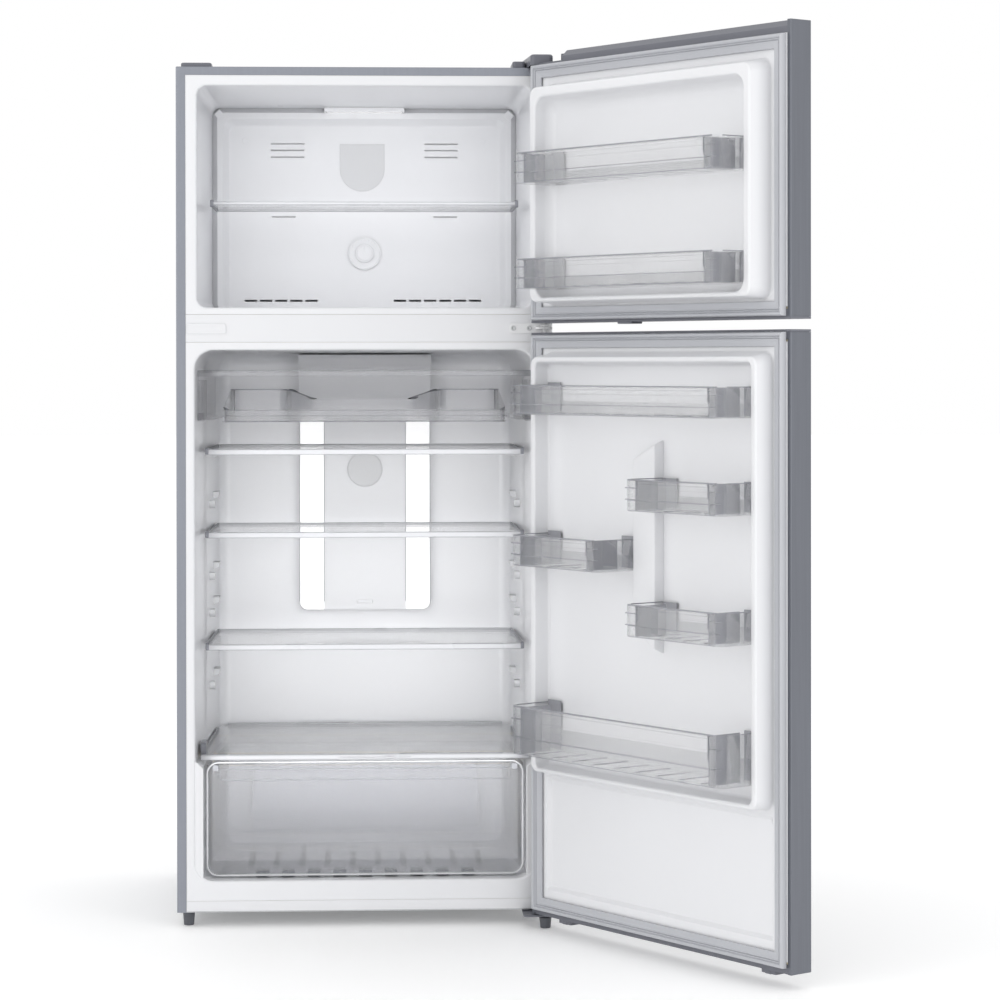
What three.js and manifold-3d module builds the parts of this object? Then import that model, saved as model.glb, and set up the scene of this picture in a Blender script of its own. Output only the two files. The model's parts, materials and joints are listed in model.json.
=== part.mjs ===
// Top freezer refrigerator, two hinged doors standing open, built piece by piece.
// Millimetres, +Z up, +X to the right, +Y to the back. The cabinet's own datum is the middle of its
// front edge at floor level: x = 0 on the centre line, y = 0 on the front flange, z = 0 on the floor.
import * as THREE from 'three';
import { mergeVertices } from 'three/addons/utils/BufferGeometryUtils.js';
import Module from 'manifold-3d';

const wasm = await Module();
wasm.setup();

// ---------------------------------------------------------------- driving dimensions
const WIDTH = 760;               // outside width of the cabinet
const DEPTH = 650;               // depth of the cabinet without its doors
const BASE_Z = 30;               // underside of the cabinet
const TOP_Z = 1738;              // top of the cabinet
const SHEET = 1;                 // steel sheet
const GAP = 0.3;                 // clearance between pieces that touch
const HALF = WIDTH / 2;

const DOOR_OPEN_DEG = 124.9;     // how far both doors stand open
const HINGE_X = 362.7;           // hinge axis
const HINGE_Y = -35;
const DOOR_GAP = 14;             // from the cabinet's front to the door's inner face, the seal's room
const DOOR_THICK = 51.7;
const DOOR_FRONT = -DOOR_GAP - DOOR_THICK;
const DOOR_EDGE_R = 10;          // rounding of the door's outer upright edges
const FRIDGE_DOOR = { z0: 28.7, z1: 1200.4 };
const FREEZER_DOOR = { z0: 1219.4, z1: 1762.2 };
const HINGE_NOTCH_X = 282;       // the freezer door's top is cut away from here to the hinge
const HINGE_NOTCH_Z = 1743;
const HINGE_CORNER_X = 342;      // nearer the hinge the notch goes right through to the front

const FLANGE_SIDE = 19;          // the steel flange seen round the openings
const FLANGE_TOP = 17;
const LINER = 1.6;               // plastic liner sheet
const FREEZER = { half: 338, z0: 1252, z1: 1700, back: 575, radius: 20 };
const FRIDGE = { front: 343, rear: 322, z0: 93, z1: 1166, back: 570, radius: 38 };
const MULLION = { z0: 1182, z1: 1238 };
const KICK_TOP = 53;
const HUMP = { y: 392, z: 300 }; // step in the liner over the machine compartment
const MACHINE = { y: 440, z: 262 };

const SHELF = { front: 110, back: 462, half: 328, halfBack: 321, thick: 10 };
const SHELF_TOPS = [961.6, 790.4, 559.4];
const FREEZER_SHELF = { half: 317, front: 110, back: 352, top: 1471, thick: 8 };
const PANEL_Y = 500;             // front of the freezer's rear panel
const DIAL_Z = 1380;
const CRISPER = { half: 322, front: 29.5, back: 378, z0: 98, z1: 330, wall: 2.4 };
const CRISPER_COVER = { half: 336, front: 30, back: 560, z0: 333, z1: 343 };
const TRAY = { half: 318, front: 110, back: 455, z0: 1018, zFront: 1044, zRear: 1083, wall: 2.4 };
const CHILLER_TOP = 1125;
const DUCT = { half: 144, y: 536, z0: 596, z1: 1128 };
const LED = { inner: 90, outer: 143 };
const FOOT_R = 13;
const ROLLER = { r: 15, wide: 14, x: 318, y: 600, pin: 3, bore: 3.7 };

const SEAL = { outer: 368, inner: 341 };
const BIN_REACH = 110;           // from the door's inner face to the front of a bin
const BIN_WALL = 2.4;

const COLOUR = {
  silver: 0x8f959d, capGrey: 0x6a6c76, white: 0xebecef, seal: 0xb4b7c0, clear: 0xd8dce2,
  foam: 0xe6d9a8, light: 0xffffff, steel: 0xa9adb2, black: 0x2a2b2f,
  copper: 0xb87850, alloy: 0xc6c9cc,
};

// ---------------------------------------------------------------- geometry helpers
const rad = THREE.MathUtils.degToRad;

function material(colour, roughness = 0.5, metalness = 0, opacity = 1) {
  return new THREE.MeshStandardMaterial({
    color: colour, roughness, metalness, opacity, transparent: opacity < 1,
  });
}

function box(x0, x1, y0, y1, z0, z1) {
  const geometry = new THREE.BoxGeometry(x1 - x0, y1 - y0, z1 - z0);
  return geometry.translate((x0 + x1) / 2, (y0 + y1) / 2, (z0 + z1) / 2);
}

function outline(points) {
  return new THREE.Shape(points.map(([a, b]) => new THREE.Vector2(a, b)));
}

function roundedRect(a0, a1, b0, b1, r) {
  const shape = new THREE.Shape();
  shape.absarc(a1 - r, b0 + r, r, -Math.PI / 2, 0);
  shape.absarc(a1 - r, b1 - r, r, 0, Math.PI / 2);
  shape.absarc(a0 + r, b1 - r, r, Math.PI / 2, Math.PI);
  shape.absarc(a0 + r, b0 + r, r, Math.PI, 1.5 * Math.PI);
  return shape;
}

function extrude(shape, depth, curveSegments) {
  return new THREE.ExtrudeGeometry(shape, { depth, bevelEnabled: false, curveSegments });
}

// An outline in X and Y stood up along Z.
function prismZ(shape, z0, z1, curveSegments = 4) {
  return extrude(shape, z1 - z0, curveSegments).translate(0, 0, z0);
}

// An outline in X and Z pushed along Y.
function prismY(shape, y0, y1, curveSegments = 4) {
  return extrude(shape, y1 - y0, curveSegments).rotateX(Math.PI / 2).translate(0, y1, 0);
}

// An outline in Y and Z pushed along X.
function prismX(shape, x0, x1, curveSegments = 4) {
  const turn = new THREE.Matrix4().makeBasis(
    new THREE.Vector3(0, 1, 0), new THREE.Vector3(0, 0, 1), new THREE.Vector3(1, 0, 0));
  return extrude(shape, x1 - x0, curveSegments).applyMatrix4(turn).translate(x0, 0, 0);
}

function rodZ(x, y, z0, z1, r, sides = 16) {
  const geometry = new THREE.CylinderGeometry(r, r, z1 - z0, sides);
  return geometry.rotateX(Math.PI / 2).translate(x, y, (z0 + z1) / 2);
}

function rodX(x0, x1, y, z, r, sides = 16) {
  const geometry = new THREE.CylinderGeometry(r, r, x1 - x0, sides);
  return geometry.rotateZ(Math.PI / 2).translate((x0 + x1) / 2, y, z);
}

function rodY(x, y0, y1, z, r, sides = 16) {
  return new THREE.CylinderGeometry(r, r, y1 - y0, sides).translate(x, (y0 + y1) / 2, z);
}

// A closed solid through convex sections, each a list of points given in the same order.
function loft(sections) {
  const count = sections[0].length;
  const positions = sections.flat().flatMap((p) => [p.x, p.y, p.z]);
  const index = [];
  for (let s = 0; s + 1 < sections.length; s += 1) {
    for (let i = 0; i < count; i += 1) {
      const a = s * count + i;
      const b = s * count + ((i + 1) % count);
      index.push(a, b, b + count, a, b + count, a + count);
    }
  }
  const last = (sections.length - 1) * count;
  for (let i = 1; i + 1 < count; i += 1) {
    index.push(0, i + 1, i, last, last + i, last + i + 1);
  }
  const geometry = new THREE.BufferGeometry();
  geometry.setAttribute('position', new THREE.Float32BufferAttribute(positions, 3));
  geometry.setIndex(index);
  return geometry;
}

// A rounded rectangle in X and Z at depth y, for loft sections that run towards -Y.
function section(y, x0, x1, z0, z1, r, curveSegments = 5) {
  const points = roundedRect(x0, x1, z0, z1, r).extractPoints(curveSegments).shape;
  const open = points[0].distanceTo(points[points.length - 1]) < 1e-6 ? points.slice(0, -1) : points;
  return open.map((p) => new THREE.Vector3(p.x, y, p.y));
}

function solid(geometry) {
  const plain = geometry.clone();
  plain.deleteAttribute('normal');
  plain.deleteAttribute('uv');
  const merged = mergeVertices(plain, 1e-4);
  return new wasm.Manifold(new wasm.Mesh({
    numProp: 3,
    vertProperties: merged.attributes.position.array,
    triVerts: new Uint32Array(merged.index.array),
  }));
}

function geometryOf(manifold) {
  const result = manifold.getMesh();
  const geometry = new THREE.BufferGeometry();
  geometry.setAttribute('position', new THREE.Float32BufferAttribute(result.vertProperties, 3));
  geometry.setIndex(new THREE.Uint32BufferAttribute(result.triVerts, 1));
  geometry.computeVertexNormals();
  return geometry;
}

function join(...geometries) {
  return geometryOf(geometries.map(solid).reduce((sum, next) => sum.add(next)));
}

function cut(geometry, ...tools) {
  return geometryOf(tools.reduce((left, tool) => left.subtract(solid(tool)), solid(geometry)));
}

const ROUGH = { plastic: 0.45, steel: 0.35, glass: 0.08, rubber: 0.7 };

function piece(parent, name, geometry, look) {
  const mesh = new THREE.Mesh(geometry, look);
  mesh.name = name;
  parent.add(mesh);
  return mesh;
}

const silver = () => material(COLOUR.silver, ROUGH.steel, 0.7);
const white = () => material(COLOUR.white, ROUGH.plastic);
const clear = () => material(COLOUR.clear, ROUGH.glass, 0, 0.45);
const grey = () => material(COLOUR.capGrey, ROUGH.plastic);
const steel = () => material(COLOUR.steel, ROUGH.steel, 0.8);

const cabinet = new THREE.Group();

// ---------------------------------------------------------------- casing
function cabinetShell() {
  const inside = box(-HALF + SHEET, HALF - SHEET, SHEET, DEPTH + 1, BASE_Z - 1, TOP_Z - SHEET);
  const mouth = box(-HALF + FLANGE_SIDE, HALF - FLANGE_SIDE, -1, SHEET + 1, BASE_Z - 1, TOP_Z - FLANGE_TOP);
  return cut(box(-HALF, HALF, 0, DEPTH, BASE_Z, TOP_Z), inside, mouth);
}

function linerSections(grow, backGrow) {
  return {
    freezer: loft([
      section(FREEZER.back + backGrow, -FREEZER.half + 6 - grow, FREEZER.half - 6 + grow,
        FREEZER.z0 - grow, FREEZER.z1 - 3 + grow, FREEZER.radius + grow),
      section(-1, -FREEZER.half - grow, FREEZER.half + grow,
        FREEZER.z0 - grow, FREEZER.z1 + grow, FREEZER.radius + grow),
    ]),
    fridge: loft([
      section(FRIDGE.back + backGrow, -FRIDGE.rear - grow, FRIDGE.rear + grow,
        FRIDGE.z0 - grow, FRIDGE.z1 - 6 + grow, FRIDGE.radius + grow),
      section(-1, -FRIDGE.front - grow, FRIDGE.front + grow,
        FRIDGE.z0 - grow, FRIDGE.z1 + grow, FRIDGE.radius + grow),
    ]),
  };
}

function hump(grow) {
  return box(-HALF, HALF, HUMP.y - grow, DEPTH, 0, HUMP.z + grow);
}

const LINER_FACE = 0.4;          // how far the white faces sit behind the steel flange
const LINER_FLANGE = 2;

function liners() {
  const inner = linerSections(0, 0);
  const outer = linerSections(LINER, LINER);
  const half = HALF - FLANGE_SIDE - GAP;
  const front = box(-HALF, HALF, -10, LINER_FACE, 0, TOP_Z);
  const flange = (z0, z1) => box(-half, half, LINER_FACE, LINER_FACE + LINER_FLANGE, z0, z1);
  const freezerTop = TOP_Z - FLANGE_TOP - GAP;
  const fridgeOuter = cut(outer.fridge, hump(-LINER));
  const fridgeInner = cut(inner.fridge, hump(0));
  return {
    freezer: cut(join(cut(outer.freezer, front), flange(MULLION.z1 + GAP, freezerTop)), inner.freezer),
    fridge: cut(join(cut(fridgeOuter, front), flange(KICK_TOP + GAP, MULLION.z0 - GAP)), fridgeInner),
  };
}

const FOAM_FRONT = LINER_FACE + LINER_FLANGE + GAP;
const CONDENSER = { y: 644.7, r: 2.3, x0: -300, x1: 300, z0: 330, z1: 1660, runs: 6 };
const FOAM_BACK = CONDENSER.y - CONDENSER.r - GAP;
const BACK_SHEET_Y = CONDENSER.y + CONDENSER.r + GAP;
const PAN = 2;
const FOOT_LEFT = { x: -358, y: 34 };

function foam() {
  const outer = linerSections(LINER + GAP, LINER + GAP);
  const side = HALF - SHEET - GAP;
  const block = box(-side, side, FOAM_FRONT, FOAM_BACK, BASE_Z + PAN + GAP, TOP_Z - SHEET - GAP);
  const machine = box(-HALF, HALF, MACHINE.y, DEPTH, 0, MACHINE.z);
  const footPocket = rodZ(FOOT_LEFT.x, FOOT_LEFT.y, BASE_Z, BASE_Z + 22, 8, 8);
  return cut(block, outer.freezer, cut(outer.fridge, hump(-LINER - GAP)), machine, footPocket);
}

const KNEE = 5;                  // points on a bend of the condenser
class Route extends THREE.Curve {
  constructor(points) {
    super();
    this.points = points;
  }

  getPoint(t) {
    const place = Math.min(t, 1) * (this.points.length - 1);
    const i = Math.min(Math.floor(place), this.points.length - 2);
    return this.points[i].clone().lerp(this.points[i + 1], place - i);
  }

  getPointAt(u) {
    return this.getPoint(u);
  }

  getTangentAt(u) {
    return this.getTangent(u);
  }
}

function tube(points, r, sides) {
  const ring = new THREE.Shape();
  ring.absarc(0, 0, r, 0, 2 * Math.PI);
  return new THREE.ExtrudeGeometry(ring, {
    steps: points.length - 1, extrudePath: new Route(points), curveSegments: sides,
  });
}

function condenser() {
  const c = CONDENSER;
  const pitch = (c.x1 - c.x0) / c.runs;
  const points = [new THREE.Vector3(c.x0, c.y, c.z0)];
  for (let run = 0; run < c.runs; run += 1) {
    const up = run % 2 === 0;
    const x = c.x0 + pitch * run;
    const z = up ? c.z1 : c.z0;
    for (let k = 0; k <= KNEE; k += 1) {
      const a = Math.PI - (Math.PI * k) / KNEE;
      const sign = up ? 1 : -1;
      points.push(new THREE.Vector3(
        x + pitch / 2 + (pitch / 2) * Math.cos(a), c.y, z + sign * (pitch / 2) * Math.sin(a)));
    }
  }
  points.push(new THREE.Vector3(c.x1, c.y, c.z1 - 40));
  return tube(points, c.r, 6);
}

const MOUNT_TAB = 2;
function basePan() {
  const side = HALF - SHEET - GAP;
  const plate = box(-side, side, FOAM_FRONT, DEPTH - 5, BASE_Z, BASE_Z + PAN);
  const parts = [plate];
  for (const side2 of [-1, 1]) {
    for (const tab of [-1, 1]) {
      const near = side2 * ROLLER.x + tab * (ROLLER.wide / 2 + 1 + MOUNT_TAB / 2);
      parts.push(box(near - MOUNT_TAB / 2, near + MOUNT_TAB / 2, ROLLER.y - 9, ROLLER.y + 9, 9, BASE_Z + 0.5));
    }
    const reach = ROLLER.wide / 2 + 1.5;
    parts.push(rodX(side2 * ROLLER.x - reach, side2 * ROLLER.x + reach, ROLLER.y, ROLLER.r, ROLLER.pin, 12));
  }
  const stemHole = rodZ(FOOT_LEFT.x, FOOT_LEFT.y, BASE_Z - 1, BASE_Z + PAN + 1, 5.8, 16);
  return cut(join(...parts), stemHole);
}

const shellParts = liners();
piece(cabinet, 'cabinet_shell', cabinetShell(), silver());
piece(cabinet, 'freezer_liner', shellParts.freezer, white());
piece(cabinet, 'fridge_liner', shellParts.fridge, white());
piece(cabinet, 'cabinet_foam', foam(), material(COLOUR.foam, 0.9));
piece(cabinet, 'condenser_tube', condenser(), material(COLOUR.copper, 0.4, 0.8));
piece(cabinet, 'base_pan', basePan(), steel());

const innerHalf = HALF - FLANGE_SIDE - GAP;
piece(cabinet, 'mullion_cover',
  box(-innerHalf, innerHalf, LINER_FACE, LINER_FACE + LINER_FLANGE, MULLION.z0, MULLION.z1), white());
piece(cabinet, 'mullion_cap', prismY(
  roundedRect(-359, -280, 1199, 1220, 4), LINER_FACE - 1.2 - GAP, LINER_FACE - GAP), white());
piece(cabinet, 'kick_strip', box(-innerHalf, innerHalf, LINER_FACE, LINER_FACE + LINER_FLANGE,
  BASE_Z + PAN + GAP, KICK_TOP), white());
const sheetHalf = HALF - SHEET - GAP;
piece(cabinet, 'back_panel', box(-sheetHalf, sheetHalf, BACK_SHEET_Y, BACK_SHEET_Y + 1,
  MACHINE.z + 12, TOP_Z - SHEET - GAP), material(COLOUR.steel, 0.5, 0.3));

function compressorCover() {
  const y0 = DEPTH - 4;
  const slots = [];
  for (let row = 0; row < 6; row += 1) {
    const z = 80 + row * 26;
    slots.push(box(40, 300, y0 - 1, y0 + 3, z, z + 8));
    slots.push(box(-300, -40, y0 - 1, y0 + 3, z, z + 8));
  }
  return cut(box(-sheetHalf, sheetHalf, y0, y0 + 1.5, BASE_Z + PAN + 5, MACHINE.z + 10), ...slots);
}
piece(cabinet, 'compressor_cover', compressorCover(), material(COLOUR.black, 0.6));

// ---------------------------------------------------------------- machine compartment
function compressor() {
  const x = -190;
  const y = 545;
  const low = BASE_Z + PAN + 16;
  const profile = [[0, low], [62, low], [76, low + 18], [79, low + 60], [76, low + 104], [52, low + 134], [0, low + 140]];
  const can = new THREE.LatheGeometry(profile.map(([r, z]) => new THREE.Vector2(r, z)), 24);
  can.rotateX(Math.PI / 2).translate(x, y, 0);
  const feet = box(x - 95, x + 95, y - 60, y + 60, BASE_Z + PAN + 12, low + 2);
  const startBox = box(x + 68, x + 104, y - 30, y + 30, low + 40, low + 95);
  const stubs = [rodZ(x + 30, y + 20, low + 120, low + 160, 4, 8)];
  const pads = [-1, 1].flatMap((a) => [-1, 1].map((b) => (
    rodZ(x + a * 80, y + b * 45, BASE_Z + PAN + GAP, BASE_Z + PAN + 13, 11, 10))));
  return join(can, feet, startBox, ...stubs, ...pads);
}
piece(cabinet, 'compressor', compressor(), material(COLOUR.black, 0.5, 0.4));

function dripPan() {
  const outer = box(60, 330, MACHINE.y + 20, 630, 90, 150);
  const legs = [[75, 475], [315, 475], [75, 615], [315, 615]].map(([x, y]) => (
    box(x - 6, x + 6, y - 6, y + 6, BASE_Z + PAN + GAP, 91)));
  return join(cut(outer, box(63, 327, MACHINE.y + 23, 627, 93, 151)), ...legs);
}
piece(cabinet, 'drip_pan', dripPan(), material(COLOUR.black, 0.5));

// ---------------------------------------------------------------- freezer interior
const VENT_X = [-206, 130];      // left ends of the two groups of slots
const VENT_ROWS = { upper: [1588, 1603, 1617], lower: [1457, 1478] };
const FAN = { z: 1590, r: 52, y0: 528, y1: 548 };

function evaporatorCover() {
  const half = FREEZER.half - 8;
  const z0 = FREEZER.z0 + GAP + 1;
  const z1 = FREEZER.z1 - 4;
  const slab = prismY(roundedRect(-half, half, z0, z1, 14), PANEL_Y, PANEL_Y + 14);
  const hollow = prismY(roundedRect(-half + 3, half - 3, z0 + 3, z1 - 3, 12), PANEL_Y + 3, PANEL_Y + 15);
  const recess = prismY(roundedRect(-296, 296, z0 + 2, 1659, 18), PANEL_Y - 1, PANEL_Y + 1.2);
  const slots = [];
  for (const x of VENT_X) {
    for (const z of VENT_ROWS.upper) slots.push(box(x, x + 76, PANEL_Y - 1, PANEL_Y + 5, z, z + 6));
    for (const z of VENT_ROWS.lower) slots.push(box(x, x + 56, PANEL_Y - 1, PANEL_Y + 5, z, z + 6));
  }
  slots.push(box(-266, -103, PANEL_Y - 1, PANEL_Y + 5, 1271, 1280));
  slots.push(box(62, 266, PANEL_Y - 1, PANEL_Y + 5, 1271, 1280));
  const dialHole = rodY(0, PANEL_Y - 1, PANEL_Y + 5, DIAL_Z, 10, 16);
  return cut(slab, hollow, recess, ...slots, dialHole);
}
piece(cabinet, 'evaporator_cover', evaporatorCover(), white());

function evaporator() {
  const parts = [];
  for (let i = 0; i < 9; i += 1) {
    const x = -248 + i * 62;
    parts.push(box(x - 1, x + 1, 522, 564, 1285, 1455));
  }
  for (let row = 0; row < 4; row += 1) {
    parts.push(rodX(-265, 265, 543, 1306 + row * 43, 5, 6));
  }
  return join(...parts);
}
piece(cabinet, 'evaporator', evaporator(), material(COLOUR.alloy, 0.3, 0.9));

piece(cabinet, 'fan_motor', join(
  rodY(0, 551, 570, FAN.z, 26, 16), box(-70, 70, 566, 571.5, FAN.z - 8, FAN.z + 8),
  rodY(0, 530, 552, FAN.z, 2.5, 8)), material(COLOUR.black, 0.5));

function fanBlade() {
  const hub = cut(rodY(0, FAN.y0, FAN.y1, FAN.z, 14, 16), rodY(0, FAN.y0 - 1, FAN.y1 + 1, FAN.z, 3.2, 8));
  const parts = [hub];
  for (let i = 0; i < 5; i += 1) {
    const blade = new THREE.BoxGeometry(30, 2, 42).rotateZ(rad(28)).translate(0, 538, 31);
    parts.push(blade.rotateY((i * 2 * Math.PI) / 5).translate(0, 0, FAN.z));
  }
  return join(...parts);
}

piece(cabinet, 'freezer_light', prismX(outline([
  [466, 1696], [470, 1687], [490, 1687], [494, 1696],
]), -83, 83), material(COLOUR.light, 0.3));

piece(cabinet, 'dial_plate', cut(rodY(0, PANEL_Y - 3, PANEL_Y + 0.9, DIAL_Z, 36, 28),
  rodY(0, PANEL_Y - 4, PANEL_Y + 2, DIAL_Z, 6, 12)), white());

function dialKnob() {
  const grip = box(-3, 3, PANEL_Y - 17, PANEL_Y - 4, DIAL_Z - 19, DIAL_Z + 19);
  const disc = rodY(0, PANEL_Y - 10, PANEL_Y - 3.3, DIAL_Z, 21, 24);
  return join(disc, grip, rodY(0, PANEL_Y - 5, PANEL_Y + 12, DIAL_Z, 5, 12));
}

function slopedShelf(spec) {
  const { front, back, half, halfBack, top, thick } = spec;
  const plan = outline([[-half, front], [half, front], [halfBack, back], [-halfBack, back]]);
  const glass = prismZ(plan, top - 5, top - 1);
  const trim = box(-half, half, front, front + 12, top - thick, top);
  const rear = box(-halfBack, halfBack, back - 10, back, top - thick, top + 4);
  const rails = [-1, 1].map((s) => {
    const rail = outline([
      [s * half, front], [s * halfBack, back], [s * (halfBack - 9), back], [s * (half - 9), front],
    ]);
    return prismZ(rail, top - thick, top);
  });
  return join(glass, trim, rear, ...rails);
}

// ---------------------------------------------------------------- fridge interior
function airDuct() {
  const wall = FRIDGE.back - GAP - 0.5;
  const panel = prismY(roundedRect(-DUCT.half, DUCT.half, DUCT.z0, DUCT.z1, 16), DUCT.y + 4, wall);
  const head = prismX(outline([
    [455, 1130], [448, 1150], [450, 1158], [wall, 1158], [wall, DUCT.z1 - 20], [500, DUCT.z1 - 8],
  ]), -DUCT.half, DUCT.half);
  const strips = [-1, 1].map((s) => box(
    Math.min(s * LED.inner, s * (LED.outer + 3)), Math.max(s * LED.inner, s * (LED.outer + 3)),
    DUCT.y, DUCT.y + 9, DUCT.z0 - 2, DUCT.z1 - 24));
  const slot = box(-19, 19, DUCT.y, DUCT.y + 12, 607, 619);
  return cut(join(panel, head), ...strips, slot);
}
piece(cabinet, 'air_duct', airDuct(), white());
for (const [name, s] of [['led_strip_left', -1], ['led_strip_right', 1]]) {
  const x0 = Math.min(s * (LED.inner + GAP), s * LED.outer);
  const x1 = Math.max(s * (LED.inner + GAP), s * LED.outer);
  piece(cabinet, name, prismY(roundedRect(x0, x1, DUCT.z0, DUCT.z1 - 26, 8), DUCT.y + 2, DUCT.y + 8.6),
    material(COLOUR.light, 0.3));
}

function fridgeWall(y) {
  return THREE.MathUtils.mapLinear(y, -1, FRIDGE.back, FRIDGE.front, FRIDGE.rear);
}

const CHILLER = { front: 45, back: 440 };
function chillerFrame() {
  const a = fridgeWall(CHILLER.front) - 1.5;
  const b = fridgeWall(CHILLER.back) - 1.5;
  const plan = outline([[-a, CHILLER.front], [a, CHILLER.front], [b, CHILLER.back], [-b, CHILLER.back]]);
  const parts = [prismZ(plan, CHILLER_TOP - 4, CHILLER_TOP)];
  for (const s of [-1, 1]) {
    const web = (inner, width, z0, z1) => prismZ(outline([
      [s * (a - inner), CHILLER.front], [s * (b - inner), CHILLER.back],
      [s * (b - inner - width), CHILLER.back], [s * (a - inner - width), CHILLER.front],
    ]), z0, z1);
    parts.push(web(0, 4, TRAY.z0 + 6, CHILLER_TOP - 3));
    parts.push(web(0, 31, TRAY.z0 + 6, TRAY.z0 + 10));
  }
  return join(...parts);
}
piece(cabinet, 'chiller_frame', chillerFrame(), clear());

// An open-topped tray whose front wall is lower than its rear one.
function chillerTray() {
  const t = TRAY;
  const sides = outline([
    [t.front, t.z0], [t.back, t.z0], [t.back, t.zRear], [t.front + 60, t.zRear - 8], [t.front, t.zFront],
  ]);
  const body = prismX(sides, -t.half + 26, t.half - 26);
  const w = t.wall;
  const hollow = box(-t.half + 26 + w, t.half - 26 - w, t.front + w, t.back - w, t.z0 + w, t.zRear + 20);
  const runners = [-1, 1].map((s) => {
    const x0 = Math.min(s * (t.half - 27), s * (t.half - 2));
    const x1 = Math.max(s * (t.half - 27), s * (t.half - 2));
    return box(x0, x1, t.front, t.back - 20, TRAY.z0 + 11, TRAY.z0 + 14);
  });
  return join(cut(body, hollow), ...runners);
}

function crisperCover() {
  const c = CRISPER_COVER;
  const plan = outline([
    [-c.half, c.front], [c.half, c.front], [fridgeWall(c.back) - 3, c.back], [-fridgeWall(c.back) + 3, c.back],
  ]);
  const glass = prismZ(plan, c.z1 - 5, c.z1 - 1);
  const trim = box(-c.half, c.half, c.front, c.front + 22, c.z0, c.z1);
  const track = box(10, 90, c.front - 1, c.front + 4, c.z0 + 3, c.z1 - 3);
  return cut(join(glass, trim), track);
}
piece(cabinet, 'crisper_cover', crisperCover(), clear());

function crisperDrawer() {
  const c = CRISPER;
  const outer = loft([
    section(c.back, -c.half + 26, c.half - 26, c.z0 + 10, c.z1, 22),
    section(c.front, -c.half, c.half, c.z0, c.z1, 24),
  ]);
  const w = c.wall;
  const inner = loft([
    section(c.back - w, -c.half + 26 + w, c.half - 26 - w, c.z0 + 10 + w, c.z1 - 2, 20),
    section(c.front + 9, -c.half + w + 1, c.half - w - 1, c.z0 + w, c.z1 - 2, 22),
  ]);
  const lid = box(-c.half + 30, c.half - 30, c.front + 9, c.back - w, c.z1 - 40, c.z1 + 2);
  const face = prismY(roundedRect(-248, 248, 130, 300, 26), c.front - 1, c.front + 4);
  return cut(outer, inner, lid, face);
}

// ---------------------------------------------------------------- hinges, feet, rollers
function topHinge() {
  const plate = prismZ(roundedRect(HINGE_X - 17, HINGE_X + 14, HINGE_Y - 13, 78, 8), 1744.5, 1748);
  const foot = box(HINGE_X - 17, HINGE_X + 14, 8, 78, TOP_Z + GAP, 1745);
  return join(plate, foot, rodZ(HINGE_X, HINGE_Y, 1729, 1745, 5, 16));
}
piece(cabinet, 'top_hinge', topHinge(), steel());

function topHingeCover() {
  const plan = outline([[300, 4], [326, -4], [334, -52], [379, -52], [379, 92], [300, 92]]);
  const cap = prismZ(plan, TOP_Z + GAP, 1760);
  const step = box(290, 322, -10, 100, 1751, 1770);
  const hollow = join(
    prismZ(outline([[303, 7], [329, -1], [337, -49], [377, -49], [377, 89], [303, 89]]), TOP_Z - 1, 1748.6),
    box(337, 377, -49, 89, TOP_Z - 1, 1757));
  const mouth = box(325, 385, -60, -1, TOP_Z - 1, 1743.8);
  return cut(cap, step, hollow, mouth);
}
piece(cabinet, 'top_hinge_cover', topHingeCover(), grey());
piece(cabinet, 'top_cap_left', prismZ(roundedRect(-370, -308, 6, 92, 6), TOP_Z + GAP, 1746.5), grey());

function middleHinge() {
  const leg = prismY(roundedRect(293, 379, 1199.5, 1220.5, 3), -3, LINER_FACE - GAP - 0.2);
  const arm = prismZ(roundedRect(344, 378, HINGE_Y - 12, 0, 8), 1208, 1211.6);
  return join(leg, cut(arm, box(340, 380, -0.2, 2, 1200, 1220)), rodZ(HINGE_X, HINGE_Y, 1186, 1234, 5, 16));
}
piece(cabinet, 'middle_hinge', middleHinge(), white());

function lowerHinge() {
  const plate = prismZ(roundedRect(318, 378, HINGE_Y - 14, 96, 8), 23.6, 27.2);
  const rise = box(319, 378, 8, 95, 27, BASE_Z - GAP);
  return join(plate, rise, rodZ(HINGE_X, HINGE_Y, 27, 44, 5, 16));
}
piece(cabinet, 'lower_hinge', lowerHinge(), grey());

function foot(x, y, top) {
  const profile = [[0, 0], [FOOT_R - 1, 0], [FOOT_R, 2], [FOOT_R, 10], [FOOT_R - 3, 14], [7, 15], [7, top], [0, top]];
  const pad = new THREE.LatheGeometry(profile.map(([r, z]) => new THREE.Vector2(r, z)), 18);
  return pad.rotateX(Math.PI / 2).translate(x, y, 0);
}

function footLeft() {
  return join(foot(FOOT_LEFT.x, FOOT_LEFT.y, BASE_Z - GAP), rodZ(FOOT_LEFT.x, FOOT_LEFT.y, 20, 46, 5, 12));
}

function roller(x) {
  return cut(rodX(x - ROLLER.wide / 2, x + ROLLER.wide / 2, ROLLER.y, ROLLER.r, ROLLER.r, 24),
    rodX(x - 20, x + 20, ROLLER.y, ROLLER.r, ROLLER.bore, 12));
}

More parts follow.
